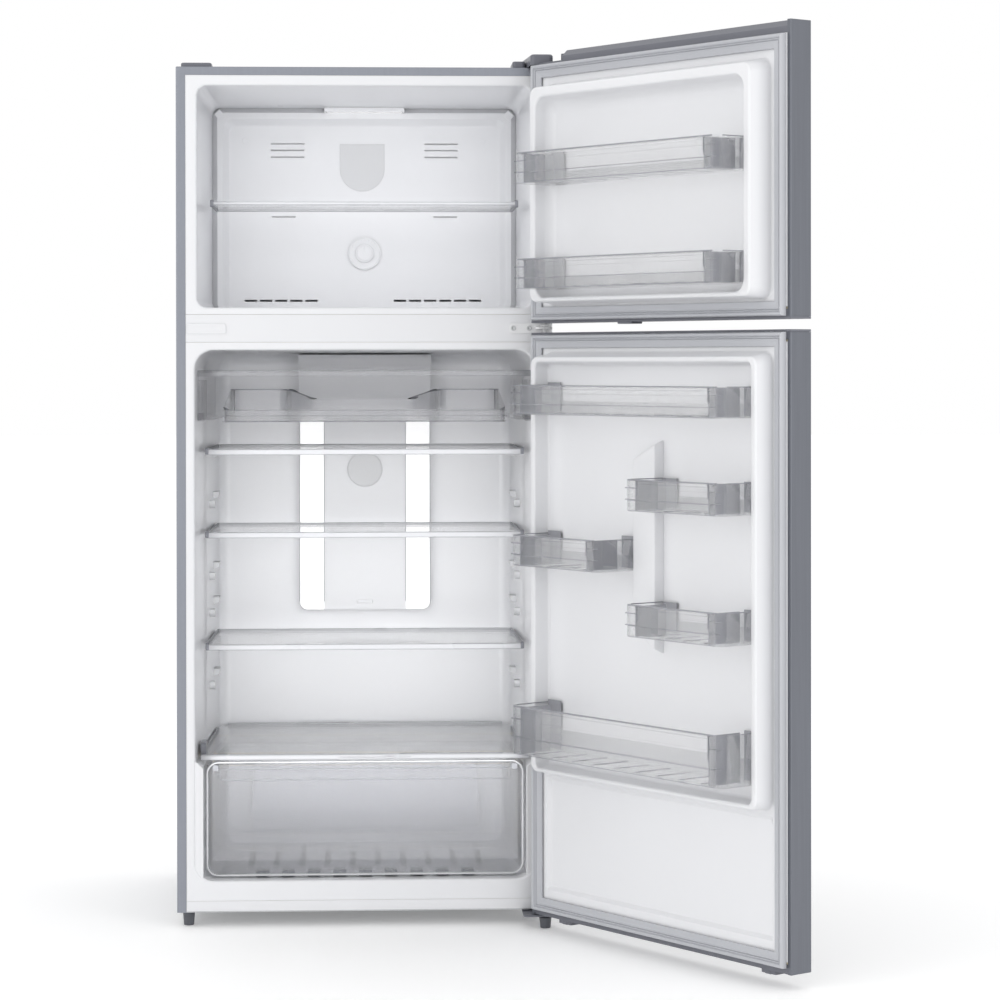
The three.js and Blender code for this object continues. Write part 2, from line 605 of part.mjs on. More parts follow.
// ---------------------------------------------------------------- moving pieces inside the cabinet
piece(cabinet, 'fan_blade', fanBlade(), white());
piece(cabinet, 'dial_knob', dialKnob(), white());
piece(cabinet, 'freezer_shelf', slopedShelf({ ...FREEZER_SHELF, halfBack: FREEZER_SHELF.half }), clear());
SHELF_TOPS.forEach((top, i) => {
  piece(cabinet, `glass_shelf_${i + 1}`, slopedShelf({ ...SHELF, top }), clear());
});
piece(cabinet, 'chiller_tray', chillerTray(), clear());
piece(cabinet, 'crisper_drawer', crisperDrawer(), clear());
piece(cabinet, 'humidity_slider', box(42, 58, CRISPER_COVER.front - 5, CRISPER_COVER.front + 3.6,
  CRISPER_COVER.z0 + 3.4, CRISPER_COVER.z1 - 3.4), white());
piece(cabinet, 'foot_left', footLeft(), material(COLOUR.black, 0.6));
piece(cabinet, 'foot_right', foot(HINGE_X, HINGE_Y, 23.3), material(COLOUR.black, 0.6));
piece(cabinet, 'roller_left', roller(-ROLLER.x), material(COLOUR.black, 0.6));
piece(cabinet, 'roller_right', roller(ROLLER.x), material(COLOUR.black, 0.6));

// ---------------------------------------------------------------- doors
// Door pieces are drawn in the shut position; hingedDoor() then swings the whole leaf open.
function hingedDoor() {
  const pivot = new THREE.Group();
  const leaf = new THREE.Group();
  pivot.position.set(HINGE_X, HINGE_Y, 0);
  pivot.rotation.z = rad(DOOR_OPEN_DEG);
  leaf.position.set(-HINGE_X, -HINGE_Y, 0);
  pivot.add(leaf);
  cabinet.add(pivot);
  return leaf;
}

const INNER_FACE = -DOOR_GAP;
const RETURN = 9;                // width of the steel folded over the inner face

function doorOutline(inset) {
  const a = HALF - inset;
  const r = DOOR_EDGE_R - inset;
  const front = DOOR_FRONT + inset;
  const shape = new THREE.Shape();
  shape.moveTo(-a, INNER_FACE - inset);
  shape.lineTo(-a, front + r);
  shape.absarc(-a + r, front + r, r, Math.PI, 1.5 * Math.PI);
  shape.absarc(a - r, front + r, r, 1.5 * Math.PI, 2 * Math.PI);
  shape.lineTo(a, INNER_FACE - inset);
  return shape;
}

function doorPanel(z0, z1) {
  const mouth = box(-HALF + RETURN, HALF - RETURN, INNER_FACE - 5, INNER_FACE + 5, z0 - 1, z1 + 1);
  return cut(prismZ(doorOutline(0), z0, z1, 5), prismZ(doorOutline(SHEET), z0 - 1, z1 + 1, 5), mouth);
}

// Dykes stand round the liner's edge and reach into the opening when the door is shut.
const DYKE = {
  freezer: { outer: 331, tip: 323, top: 306, root: 303, reach: 50 },
  fridge: { outer: 336, tip: 331, top: 317, root: 314, reach: 42 },
};

// The fridge door's liner has a flat panel sunk into it under the lowest bin.
const PANEL_RECESS = { half: 331, z0: 84, z1: 311, depth: 6 };

function doorLiner(spec, z0, z1, pan0, pan1) {
  const y0 = INNER_FACE;
  const skin = LINER;
  const at = (half, y, zLow, zHigh, r) => section(y, -half, half, zLow, zHigh, r, 4);
  const outer = loft([
    at(spec.tip, y0 + spec.reach, pan0 + 4, pan1 - 9, 16), at(spec.outer, y0 - 1, pan0, pan1, 22),
  ]);
  const basin = loft([
    at(spec.top, y0 + spec.reach + 1, pan0 + 12, pan1 - 30, 22), at(spec.root, y0 + 8, pan0 + 15, pan1 - 38, 20),
  ]);
  const back = loft([
    at(spec.tip - skin * 1.4, y0 + spec.reach - skin, pan0 + 4 + skin * 1.4, pan1 - 9 - skin * 1.4, 14),
    at(spec.outer - skin * 1.4, y0 - 4, pan0 + skin * 1.4, pan1 - skin * 1.4, 20),
  ]);
  const basinSkin = loft([
    at(spec.top + skin * 1.4, y0 + spec.reach + 2, pan0 + 12 - skin * 1.4, pan1 - 30 + skin * 1.4, 23),
    at(spec.root + skin * 1.4, y0 + 8 - skin, pan0 + 15 - skin * 1.4, pan1 - 38 + skin * 1.4, 21),
  ]);
  const edge = HALF - RETURN - GAP;
  const flange = box(-edge, edge, y0 - skin, y0, z0, z1);
  return cut(join(cut(outer, basin), flange), cut(back, basinSkin));
}

function doorFoam(z0, z1) {
  const core = prismZ(doorOutline(SHEET + GAP), z0, z1, 5);
  return cut(core, box(-HALF, HALF, INNER_FACE - LINER - GAP, 60, z0 - 1, z1 + 1));
}

function gasket(z0, z1) {
  const outer = prismY(roundedRect(-SEAL.outer, SEAL.outer, z0, z1, 3), INNER_FACE + GAP, -0.6, 2);
  const m = SEAL.outer - SEAL.inner;
  const inner = box(-SEAL.inner, SEAL.inner, INNER_FACE, 0, z0 + m, z1 - m);
  return cut(outer, inner);
}

function bore(z0, z1) {
  return rodZ(HINGE_X, HINGE_Y, z0, z1, 5.6, 16);
}

// A clear bin that hangs on the liner: a thin box, open on top, with thicker ends.
function bin(xHinge, xFree, z0, z1) {
  const back = INNER_FACE + 9;
  const front = INNER_FACE + BIN_REACH;
  const plan = new THREE.Shape();
  const r = 14;
  plan.moveTo(xFree, back);
  plan.lineTo(xHinge, back);
  plan.absarc(xHinge - r, front - r, r, 0, Math.PI / 2);
  plan.absarc(xFree + r, front - r, r, Math.PI / 2, Math.PI);
  const shell = prismZ(plan, z0, z1);
  const w = BIN_WALL;
  const inside = prismZ(roundedRect(xFree + w, xHinge - w, back + w, front - w, r - w), z0 + w, z1 + 1);
  const backGap = box(xFree + 40, xHinge - 40, back - 1, back + w + 1, z0 + (z1 - z0) * 0.6, z1 + 1);
  return cut(shell, inside, backGap);
}

function buildFreezerDoor() {
  const leaf = hingedDoor();
  const { z0, z1 } = FREEZER_DOOR;
  const capDeep = 18;
  const body0 = z0 + capDeep + GAP;
  const body1 = HINGE_NOTCH_Z - 1;
  const foamTop = body1 - capDeep;
  const flangeRoom = box(-HALF, HALF, INNER_FACE - LINER - 2 * GAP, 10, foamTop, body1 + GAP);
  const notch = join(
    box(HINGE_NOTCH_X, HALF + 1, DOOR_FRONT + 6, 10, HINGE_NOTCH_Z, z1 + 1),
    box(HINGE_CORNER_X, HALF + 1, DOOR_FRONT - 1, 10, HINGE_NOTCH_Z, z1 + 1));
  const panel = cut(doorPanel(z0 + 4.6 + GAP, z1), notch);
  const inside = doorOutline(SHEET + GAP);
  const liner = doorLiner(DYKE.freezer, body0, body1, 1257, 1695);
  piece(leaf, 'freezer_door_panel', panel, silver());
  piece(leaf, 'freezer_door_liner', liner, white());
  piece(leaf, 'freezer_door_foam', doorFoam(body0, foamTop), material(COLOUR.foam, 0.9));
  piece(leaf, 'freezer_door_gasket', gasket(1224.5, 1737.5), material(COLOUR.seal, ROUGH.rubber));
  piece(leaf, 'freezer_door_top_cap',
    cut(prismZ(inside, foamTop + GAP, z1, 5), notch, flangeRoom, bore(foamTop + 1, z1)), grey());
  piece(leaf, 'freezer_door_bottom_cap', cut(join(
    prismZ(doorOutline(0), z0, z0 + 4.6, 5), prismZ(inside, z0 + 4, body0 - GAP, 5),
    box(70, 112, INNER_FACE - 30, INNER_FACE - 2, z0 - 4, z0 + 1)), bore(z0 - 1, z0 + 17)), grey());
  piece(leaf, 'freezer_bin_upper', bin(300, -300, 1492, 1553), clear());
  piece(leaf, 'freezer_bin_lower', bin(300, -300, 1285, 1344), clear());
}

function buildFridgeDoor() {
  const leaf = hingedDoor();
  const { z0, z1 } = FRIDGE_DOOR;
  const capDeep = 18;
  const body0 = z0 + capDeep + GAP;
  const body1 = z1 - capDeep - GAP;
  const inside = doorOutline(SHEET + GAP);
  const sunk = PANEL_RECESS;
  const recess = (grow, y) => prismY(
    roundedRect(-sunk.half - grow, sunk.half + grow, sunk.z0 - grow, sunk.z1 + grow, 8 + grow), y, INNER_FACE + 1);
  const recessBack = INNER_FACE - sunk.depth;
  const skirt = cut(recess(LINER, recessBack - LINER), box(-HALF, HALF, INNER_FACE - 0.2, 10, 0, z1));
  const plainLiner = cut(join(doorLiner(DYKE.fridge, body0, body1, 322, 1160), skirt), recess(0, recessBack));
  const ridge = loft([
    section(INNER_FACE + 30, -14, 14, 610, 940, 6, 1), section(INNER_FACE + 7, -36, 36, 585, 965, 8, 1)]);
  const liner = join(plainLiner, ridge);
  piece(leaf, 'fridge_door_panel', doorPanel(z0, z1 - 4.6 - GAP), silver());
  piece(leaf, 'fridge_door_liner', liner, white());
  piece(leaf, 'fridge_door_foam', cut(doorFoam(body0, body1), recess(LINER + GAP, recessBack - LINER - GAP)),
    material(COLOUR.foam, 0.9));
  piece(leaf, 'fridge_door_gasket', gasket(39.5, 1196), material(COLOUR.seal, ROUGH.rubber));
  piece(leaf, 'fridge_door_top_cap', cut(join(
    prismZ(doorOutline(0), z1 - 4.6, z1, 5), prismZ(inside, body1 + GAP, z1 - 4, 5)),
  bore(z1 - 17, z1 + 1)), grey());
  const stop = (x) => box(x, x + 40, INNER_FACE - 34, INNER_FACE - 6, z0 - 8, z0 + 6);
  piece(leaf, 'fridge_door_bottom_cap', cut(join(
    prismZ(inside, z0, body0 - GAP, 5), stop(262), stop(-332)), bore(z0 - 1, z0 + 17)), grey());
  piece(leaf, 'fridge_bin_1', bin(312, -312, 1038, 1096), clear());
  piece(leaf, 'fridge_bin_2', bin(-38, -312, 861, 921), clear());
  piece(leaf, 'fridge_bin_3', bin(312, 38, 740, 801), clear());
  piece(leaf, 'fridge_bin_4', bin(-38, -312, 625, 686), clear());
  piece(leaf, 'fridge_bin_5', bin(312, -312, 368, 464), clear());
}

buildFreezerDoor();
buildFridgeDoor();

// ---------------------------------------------------------------- origin
// The whole object stands on z = 0 with its box centred on x = 0 and y = 0.
const bounds = new THREE.Box3().setFromObject(cabinet, true);
cabinet.position.set(
  -(bounds.min.x + bounds.max.x) / 2, -(bounds.min.y + bounds.max.y) / 2, -bounds.min.z);

const group = new THREE.Group();
group.add(cabinet);
export default group;
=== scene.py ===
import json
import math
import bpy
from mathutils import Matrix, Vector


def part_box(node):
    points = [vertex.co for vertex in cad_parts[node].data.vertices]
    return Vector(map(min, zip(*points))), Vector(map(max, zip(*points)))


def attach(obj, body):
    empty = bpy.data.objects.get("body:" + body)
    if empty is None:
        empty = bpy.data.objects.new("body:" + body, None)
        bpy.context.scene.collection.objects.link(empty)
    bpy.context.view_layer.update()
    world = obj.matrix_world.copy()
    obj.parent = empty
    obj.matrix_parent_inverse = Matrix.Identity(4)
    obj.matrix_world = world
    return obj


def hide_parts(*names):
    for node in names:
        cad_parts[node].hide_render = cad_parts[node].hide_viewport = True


bl_info = {
    "name": "Top Freezer Refrigerator",
    "version": (1, 0, 0),
    "blender": (4, 5, 0),
    "location": "3D View > Sidebar > Refrigerator",
    "description": "Models the pieces and finishes of a top freezer refrigerator round its CAD frame",
    "category": "Object",
}

import bmesh
import bpy
from bpy.props import FloatProperty, FloatVectorProperty, PointerProperty
from mathutils import Matrix, Vector

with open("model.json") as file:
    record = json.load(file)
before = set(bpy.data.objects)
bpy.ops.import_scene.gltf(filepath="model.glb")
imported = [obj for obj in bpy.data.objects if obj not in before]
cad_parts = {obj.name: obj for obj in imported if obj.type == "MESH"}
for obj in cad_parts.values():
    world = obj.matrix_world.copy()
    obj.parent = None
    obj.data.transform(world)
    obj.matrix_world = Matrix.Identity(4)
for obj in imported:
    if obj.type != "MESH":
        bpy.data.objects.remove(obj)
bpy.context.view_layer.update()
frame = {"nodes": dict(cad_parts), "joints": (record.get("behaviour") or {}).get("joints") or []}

# ---------------------------------------------------------------- places
# Pieces are modelled in millimetres, in the cabinet's own datum: the middle of its front edge on the
# floor. Door pieces are modelled with the door shut. CABINET and LEAF carry them into the frame.
MM = 0.001
SHELL_LO, SHELL_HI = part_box("cabinet_shell")
CABINET = Matrix.Translation(((SHELL_LO.x + SHELL_HI.x) / 2, SHELL_LO.y, 0)) @ Matrix.Scale(MM, 4)
DOOR_JOINT = next(j for j in frame["joints"] if j["name"] == "fridge_door_hinge")
OPEN_ANGLE = math.radians(-DOOR_JOINT["range_deg"][0])
PIN = CABINET.inverted() @ Vector(DOOR_JOINT["pos_m"])
PIN.z = 0
SWING = Matrix.Translation(PIN) @ Matrix.Rotation(OPEN_ANGLE, 4, "Z") @ Matrix.Translation(-PIN)
LEAF = CABINET @ SWING

X, Y, Z = 0, 1, 2
FRONT = Vector((0, -1, 0))
BACK = Vector((0, 1, 0))


def span(node, place=CABINET):
    """Lowest and highest corner of a CAD node in millimetres, in the cabinet's or the shut door's datum."""
    home = place.inverted()
    points = [home @ v.co for v in frame["nodes"][node].data.vertices]
    low = Vector([min(p[i] for p in points) for i in range(3)])
    high = Vector([max(p[i] for p in points) for i in range(3)])
    return low, high


# ---------------------------------------------------------------- mesh work
def block(bm, x, y, z):
    """A box from three (low, high) pairs; returns its corners."""
    verts = bmesh.ops.create_cube(bm, size=1)["verts"]
    size = (x[1] - x[0], y[1] - y[0], z[1] - z[0])
    centre = ((x[0] + x[1]) / 2, (y[0] + y[1]) / 2, (z[0] + z[1]) / 2)
    bmesh.ops.scale(bm, vec=size, verts=verts)
    bmesh.ops.translate(bm, vec=centre, verts=verts)
    return verts


def round_off(bm, edges, width, segments=4):
    """Rounds edges off."""
    bmesh.ops.bevel(
        bm, geom=edges, offset=width, offset_type="OFFSET", segments=segments, profile=0.5,
        affect="EDGES", material=-1, clamp_overlap=True,
    )


def own_edges(verts):
    """The edges between these corners."""
    inside = {v for v in verts if v.is_valid}
    return {e for v in inside for e in v.link_edges if e.other_vert(v) in inside}


def along(verts, axis):
    """The edges between these corners that run along an axis."""
    return [e for e in own_edges(verts) if abs((e.verts[0].co - e.verts[1].co).normalized()[axis]) > 0.99]


def bar(bm, x, y, z, corner, axis, segments=5):
    """A box with its four edges along one axis rounded."""
    verts = block(bm, x, y, z)
    round_off(bm, along(verts, axis), corner, segments)


def rod(bm, centre, radius, length, axis, segments=48, tip=None):
    """A round bar or cone along an axis, centred on a point; returns its corners."""
    turn = {X: Matrix.Rotation(math.pi / 2, 4, "Y"), Y: Matrix.Rotation(-math.pi / 2, 4, "X"), Z: Matrix()}[axis]
    return bmesh.ops.create_cone(
        bm, cap_ends=True, cap_tris=False, segments=segments, radius1=radius,
        radius2=radius if tip is None else tip, depth=length, matrix=Matrix.Translation(centre) @ turn,
    )["verts"]


def ring(bm, y, x, z, corner, segments=8):
    """A rounded rectangle that stands across Y; returns its rim."""
    before = set(bm.faces)
    corners = [bm.verts.new((a, y, b)) for a, b in ((x[0], z[0]), (x[1], z[0]), (x[1], z[1]), (x[0], z[1]))]
    bm.faces.new(corners)
    bmesh.ops.bevel(
        bm, geom=corners, offset=corner, offset_type="OFFSET", segments=segments, profile=0.5,
        affect="VERTICES", material=-1,
    )
    face = next(f for f in bm.faces if f not in before)
    rim = list(face.edges)
    bmesh.ops.delete(bm, geom=[face], context="FACES_ONLY")
    return rim


def skin(bm, rings, towards=FRONT, cap=True):
    """Rounded rectangles joined one after another, facing a side; a cap closes the last one."""
    rims = [ring(bm, *r) for r in rings]
    for a, b in zip(rims, rims[1:]):
        bmesh.ops.bridge_loops(bm, edges=a + b)
    if cap:
        bmesh.ops.contextual_create(bm, geom=rims[-1])
    else:
        bmesh.ops.delete(bm, geom=[f for f in bm.faces if len(f.verts) > 4], context="FACES_ONLY")
    bmesh.ops.recalc_face_normals(bm, faces=bm.faces)
    flat = max(bm.faces, key=lambda f: f.calc_area())
    if flat.normal.dot(towards) < 0:
        bmesh.ops.reverse_faces(bm, faces=bm.faces)


def at_depth(bm, y):
    """Edges that lie flat at one depth along Y, on a rim rather than across a face."""
    found = [e for e in bm.edges if all(abs(v.co.y - y) < 0.01 for v in e.verts) and len(e.link_faces) == 2]
    return [e for e in found if e.calc_face_angle(0) > 0.15]


def sharp(bm, degrees=40):
    """The edges that turn by more than an angle."""
    return [e for e in bm.edges if len(e.link_faces) == 2 and e.calc_face_angle(0) > math.radians(degrees)]


def slice_faces(bm, faces, point, normal):
    """Cuts faces along a plane and keeps both sides."""
    geom = set(faces)
    for f in faces:
        geom.update(f.edges)
        geom.update(f.verts)
    bmesh.ops.bisect_plane(bm, geom=list(geom), dist=1e-4, plane_co=point, plane_no=normal)


def window(bm, axis, depth, a, b):
    """Cuts a rectangle free in the flat faces at one depth along an axis, and returns its faces."""
    u, w = [i for i in range(3) if i != axis]

    def touched():
        found = []
        for f in bm.faces:
            if any(abs(v.co[axis] - depth) > 0.01 for v in f.verts):
                continue
            us = [v.co[u] for v in f.verts]
            ws = [v.co[w] for v in f.verts]
            inside_u = max(us) > a[0] + 0.01 and min(us) < a[1] - 0.01
            inside_w = max(ws) > b[0] + 0.01 and min(ws) < b[1] - 0.01
            if inside_u and inside_w:
                found.append(f)
        return found

    for along_axis, limits in ((u, a), (w, b)):
        for limit in limits:
            point, normal = Vector((0, 0, 0)), Vector((0, 0, 0))
            point[axis], point[along_axis], normal[along_axis] = depth, limit, 1
            slice_faces(bm, touched(), point, normal)
    return touched()


def pierce(bm, axis, depth, a, b, lip=0, rise=0):
    """A rectangular hole, with a raised lip if one is given."""
    faces = window(bm, axis, depth, a, b)
    if lip:
        bmesh.ops.inset_region(
            bm, faces=faces, thickness=lip, depth=rise, use_even_offset=True, use_boundary=True)
    bmesh.ops.delete(bm, geom=faces, context="FACES")


def emboss(bm, axis, depth, a, b, slope, rise):
    """A raised or sunk field with sloping sides."""
    faces = window(bm, axis, depth, a, b)
    bmesh.ops.inset_region(
        bm, faces=faces, thickness=slope, depth=rise, use_even_offset=True, use_boundary=True)


def front_disc(bm):
    """The many-sided face nearest the front."""
    return min(bm.faces, key=lambda f: f.calc_center_median().y if len(f.verts) > 4 else math.inf)


def step_in(bm, face, *steps):
    """Insets one face again and again by (thickness, depth) pairs."""
    for thickness, depth in steps:
        bmesh.ops.inset_region(bm, faces=[face], thickness=thickness, depth=depth, use_even_offset=True)


def size(name):
    """A size from the panel, in millimetres."""
    return getattr(bpy.context.scene.fridge_look, name) / MM


def piece(bm, name, finish, body, nodes=(), slot=None, place=CABINET, wall=0.0, edge=0.0):
    """Turns a bmesh into a finished piece that rides on a body and stands for CAD nodes."""
    bmesh.ops.transform(bm, matrix=place, verts=bm.verts)
    mesh = bpy.data.meshes.new(name)
    bm.to_mesh(mesh)
    bm.free()
    mesh.materials.append(finish)
    mesh.shade_smooth()
    mesh.set_sharp_from_angle(angle=math.radians(38))
    made = bpy.data.objects.new(name, mesh)
    bpy.context.scene.collection.objects.link(made)
    if wall:
        shell = made.modifiers.new("Wall", "SOLIDIFY")
        shell.thickness = wall * MM
        shell.offset = -1
    if edge:
        soft = made.modifiers.new("Edge", "BEVEL")
        soft.width = edge * MM
        soft.segments = 3
        soft.limit_method = "ANGLE"
        soft.angle_limit = math.radians(40)
    if wall or edge:
        made.modifiers.new("Normals", "WEIGHTED_NORMAL").keep_sharp = True
    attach(made, body)
    if nodes:
        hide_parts(*nodes)
    return made


# ---------------------------------------------------------------- finishes
def shader(name):
    """A new material, its node tree and its main shader."""
    material = bpy.data.materials.new(name)
    material.use_nodes = True
    tree = material.node_tree
    return material, tree, tree.nodes["Principled BSDF"]


def pattern(tree, kind, size, stretch=(1, 1, 1), detail=2.0):
    """A noise or cell pattern on object coordinates; size is its grain in metres."""
    coords = tree.nodes.new("ShaderNodeTexCoord")
    mapping = tree.nodes.new("ShaderNodeMapping")
    mapping.inputs["Scale"].default_value = stretch
    texture = tree.nodes.new(kind)
    texture.inputs["Scale"].default_value = 1 / size
    if "Detail" in texture.inputs:
        texture.inputs["Detail"].default_value = detail
    tree.links.new(coords.outputs["Object"], mapping.inputs["Vector"])
    tree.links.new(mapping.outputs["Vector"], texture.inputs["Vector"])
    return texture.outputs["Distance" if kind == "ShaderNodeTexVoronoi" else 0]


def tint(tree, socket, factor, first, second):
    """Feeds a colour between two others, chosen by a pattern."""
    mix = tree.nodes.new("ShaderNodeMix")
    mix.data_type = "RGBA"
    mix.inputs["A"].default_value = (*first, 1)
    mix.inputs["B"].default_value = (*second, 1)
    tree.links.new(factor, mix.inputs["Factor"])
    tree.links.new(mix.outputs["Result"], socket)


def spread(tree, socket, factor, low, high):
    """Feeds a value between two limits, chosen by a pattern."""
    remap = tree.nodes.new("ShaderNodeMapRange")
    remap.inputs["To Min"].default_value = low
    remap.inputs["To Max"].default_value = high
    tree.links.new(factor, remap.inputs["Value"])
    tree.links.new(remap.outputs["Result"], socket)


def relief(tree, bsdf, *layers):
    """Bump from (height, depth in metres) layers, one on top of the other."""
    last = None
    for height, depth in layers:
        bump = tree.nodes.new("ShaderNodeBump")
        bump.inputs["Strength"].default_value = 1
        bump.inputs["Distance"].default_value = depth
        tree.links.new(height, bump.inputs["Height"])
        if last:
            tree.links.new(last.outputs["Normal"], bump.inputs["Normal"])
        last = bump
    tree.links.new(last.outputs["Normal"], bsdf.inputs["Normal"])


def moulded(name, light, dark, rough, grain=0.0012, depth=0.00002, patch=0.25, coat=0.0):
    """Injection moulded or thermoformed plastic: faint cloudiness, satin gloss and a fine skin."""
    material, tree, bsdf = shader(name)
    cloud = pattern(tree, "ShaderNodeTexNoise", patch, detail=3)
    tint(tree, bsdf.inputs["Base Color"], cloud, dark, light)
    spread(tree, bsdf.inputs["Roughness"], cloud, rough - 0.05, rough + 0.05)
    relief(tree, bsdf, (pattern(tree, "ShaderNodeTexNoise", grain), depth))
    bsdf.inputs["Coat Weight"].default_value = coat
    bsdf.inputs["Coat Roughness"].default_value = 0.12
    return material


def sheet_steel(name, light, dark, rough, metallic, cell, depth, streak=0.004):
    """Coated steel sheet with a fine dotted emboss and upright brush marks."""
    material, tree, bsdf = shader(name)
    brushed = pattern(tree, "ShaderNodeTexNoise", streak, stretch=(1, 1, 0.02), detail=4)
    tint(tree, bsdf.inputs["Base Color"], brushed, dark, light)
    spread(tree, bsdf.inputs["Roughness"], brushed, rough - 0.06, rough + 0.08)
    dots = pattern(tree, "ShaderNodeTexVoronoi", cell)
    relief(tree, bsdf, (dots, depth), (brushed, depth * 0.3))
    bsdf.inputs["Metallic"].default_value = metallic
    return material


def clear(name, light, dark, rough, solid, ior=1.49):
    """Clear plastic or glass, with faint smudges and flow marks."""
    material, tree, bsdf = shader(name)
    smudge = pattern(tree, "ShaderNodeTexNoise", 0.06, detail=4)
    tint(tree, bsdf.inputs["Base Color"], smudge, dark, light)
    spread(tree, bsdf.inputs["Roughness"], smudge, rough * 0.5, rough * 1.5)
    relief(tree, bsdf, (pattern(tree, "ShaderNodeTexNoise", 0.02, detail=1), 0.00004))
    bsdf.inputs["Transmission Weight"].default_value = 1
    bsdf.inputs["IOR"].default_value = ior
    bsdf.inputs["Alpha"].default_value = solid
    return material


def lit(name, colour, strength):
    """An opal diffuser with light behind it."""
    material, tree, bsdf = shader(name)
    cloud = pattern(tree, "ShaderNodeTexNoise", 0.05)
    tint(tree, bsdf.inputs["Base Color"], cloud, (0.93, 0.93, 0.93), (0.97, 0.97, 0.97))
    spread(tree, bsdf.inputs["Roughness"], cloud, 0.35, 0.45)
    bsdf.inputs["Emission Color"].default_value = (*colour, 1)
    bsdf.inputs["Emission Strength"].default_value = strength
    return material


def finishes():
    """Every finish, by the name that the pieces use for it."""
    look = bpy.context.scene.fridge_look
    grey = Vector(look.steel_colour)
    white = Vector(look.liner_colour)
    trim = Vector(look.trim_colour)
    return {
        "steel": sheet_steel("Silver steel sheet", grey * 1.06, grey * 0.94, 0.36, 0.75, 0.0024, 0.0003),
        # The door steel is the casing steel made darker and more metallic: painted shade for the dark reflections
        # along the doors' edges.
        "shaded_door_steel": sheet_steel("Door steel darkened as painted shade", grey * 0.66, grey * 0.54, 0.34, 0.85, 0.0009, 0.00001),
        "zinc": sheet_steel("Zinc plated sheet", (0.6, 0.61, 0.62), (0.48, 0.49, 0.5), 0.4, 0.9, 0.012, 0.00001),
        "white": moulded("White liner", white, white * 0.965, 0.3, coat=0.12),
        "panel_white": moulded("White moulding", white * 0.965, white * 0.94, 0.36, grain=0.0008),
        "trim": moulded("Grey trim plastic", trim * 1.1, trim * 0.9, 0.38, grain=0.0007, depth=0.00003),
        "seal": moulded("Grey seal vinyl", (0.5, 0.51, 0.54), (0.45, 0.46, 0.49), 0.5, grain=0.0009),
        "black": moulded("Black moulded plastic", (0.035, 0.035, 0.04), (0.02, 0.02, 0.023), 0.5, depth=0.00005),
        "foam": moulded("Rigid foam", (0.75, 0.66, 0.42), (0.66, 0.56, 0.33), 0.85, grain=0.003, depth=0.0004),
        "clear": clear("Clear moulded plastic", (0.9, 0.905, 0.92), (0.87, 0.875, 0.89), 0.03, 0.34),
        "tinted": clear("Tinted clear plastic", (0.66, 0.66, 0.685), (0.62, 0.62, 0.645), 0.05, 0.46),
        "glass": clear("Toughened glass", (0.975, 0.985, 0.985), (0.965, 0.98, 0.98), 0.02, 0.42, ior=1.5),
        "frosted": moulded("Frosted shelf edging", (0.45, 0.455, 0.475), (0.41, 0.415, 0.435), 0.28, coat=0.1),
        "drawer": clear("Drawer plastic", (0.95, 0.955, 0.98), (0.93, 0.935, 0.96), 0.03, 0.5),
        # Opaque light grey for the drawer's front rim and the outline on its back: painted highlight for the
        # bright edges of the clear plastic.
        "rim": moulded("Rim grey as painted highlight", (0.62, 0.625, 0.645), (0.58, 0.585, 0.605), 0.15, coat=0.3),
        # Opaque dark grey for seams, the tray rim and the fine lines of bins and drawer: painted shade for the
        # dark look of clear plastic edges and gaps.
        "line": moulded("Dark edge lines as painted shade", (0.3, 0.305, 0.33), (0.26, 0.265, 0.29), 0.2, coat=0.4),
        # A grey copy of the white liner plastic for the ledges, hump, back-cover shield and duct plate: painted
        # shade that makes these mouldings stand out.
        "shaded_liner": moulded("Liner grey as painted shade", (0.62, 0.625, 0.64), (0.6, 0.605, 0.62), 0.35),
        "led": lit("Light strip diffuser", (1, 1, 1), look.strip_power),
        "lamp": lit("Freezer lamp cover", (1, 1, 1), look.strip_power * 0.5),
        "enamel": moulded("Black enamel", (0.03, 0.03, 0.033), (0.02, 0.02, 0.022), 0.28, coat=0.5),
        "copper": sheet_steel("Drawn copper", (0.72, 0.42, 0.27), (0.6, 0.33, 0.2), 0.3, 1.0, 0.01, 0.000005),
        "alloy": sheet_steel("Bare alloy fins", (0.78, 0.79, 0.8), (0.66, 0.67, 0.68), 0.3, 1.0, 0.01, 0.000005),
        "clip": moulded("Grey clips", (0.2, 0.205, 0.23), (0.15, 0.155, 0.175), 0.35),
        "bracket": moulded("White painted bracket", (0.8, 0.8, 0.81), (0.75, 0.755, 0.765), 0.3, coat=0.4),
        "foot": moulded("Dark foot plastic", (0.1, 0.105, 0.12), (0.07, 0.073, 0.085), 0.4),
    }


FINISH = {}   # filled by the finishes operator
SLOT = {
    "steel": "silver_steel", "shaded_door_steel": "silver_steel", "zinc": "zinc_steel", "white": "white_liner",
    "panel_white": "white_liner", "trim": "grey_plastic", "seal": "seal", "black": "black_plastic",
    "foam": "insulation", "clear": "clear_plastic", "tinted": "clear_plastic", "glass": "shelf_glass",
    "frosted": "shelf_glass", "drawer": "clear_plastic", "rim": "clear_plastic", "line": "clear_plastic",
    "shaded_liner": "white_liner", "led": "light_diffuser", "lamp": "light_diffuser", "enamel": "black_steel",
    "copper": "copper", "alloy": "alloy", "clip": "grey_plastic", "bracket": "white_liner",
    "foot": "black_plastic",
}


def make(bm, name, look, body, nodes=(), **options):
    """A piece with one of the finishes and that finish's slot."""
    return piece(bm, name, FINISH[look], body, nodes, SLOT[look], **options)


# ---------------------------------------------------------------- cabinet casing
FLANGE_SIDE = 19
FLANGE_TOP = 17


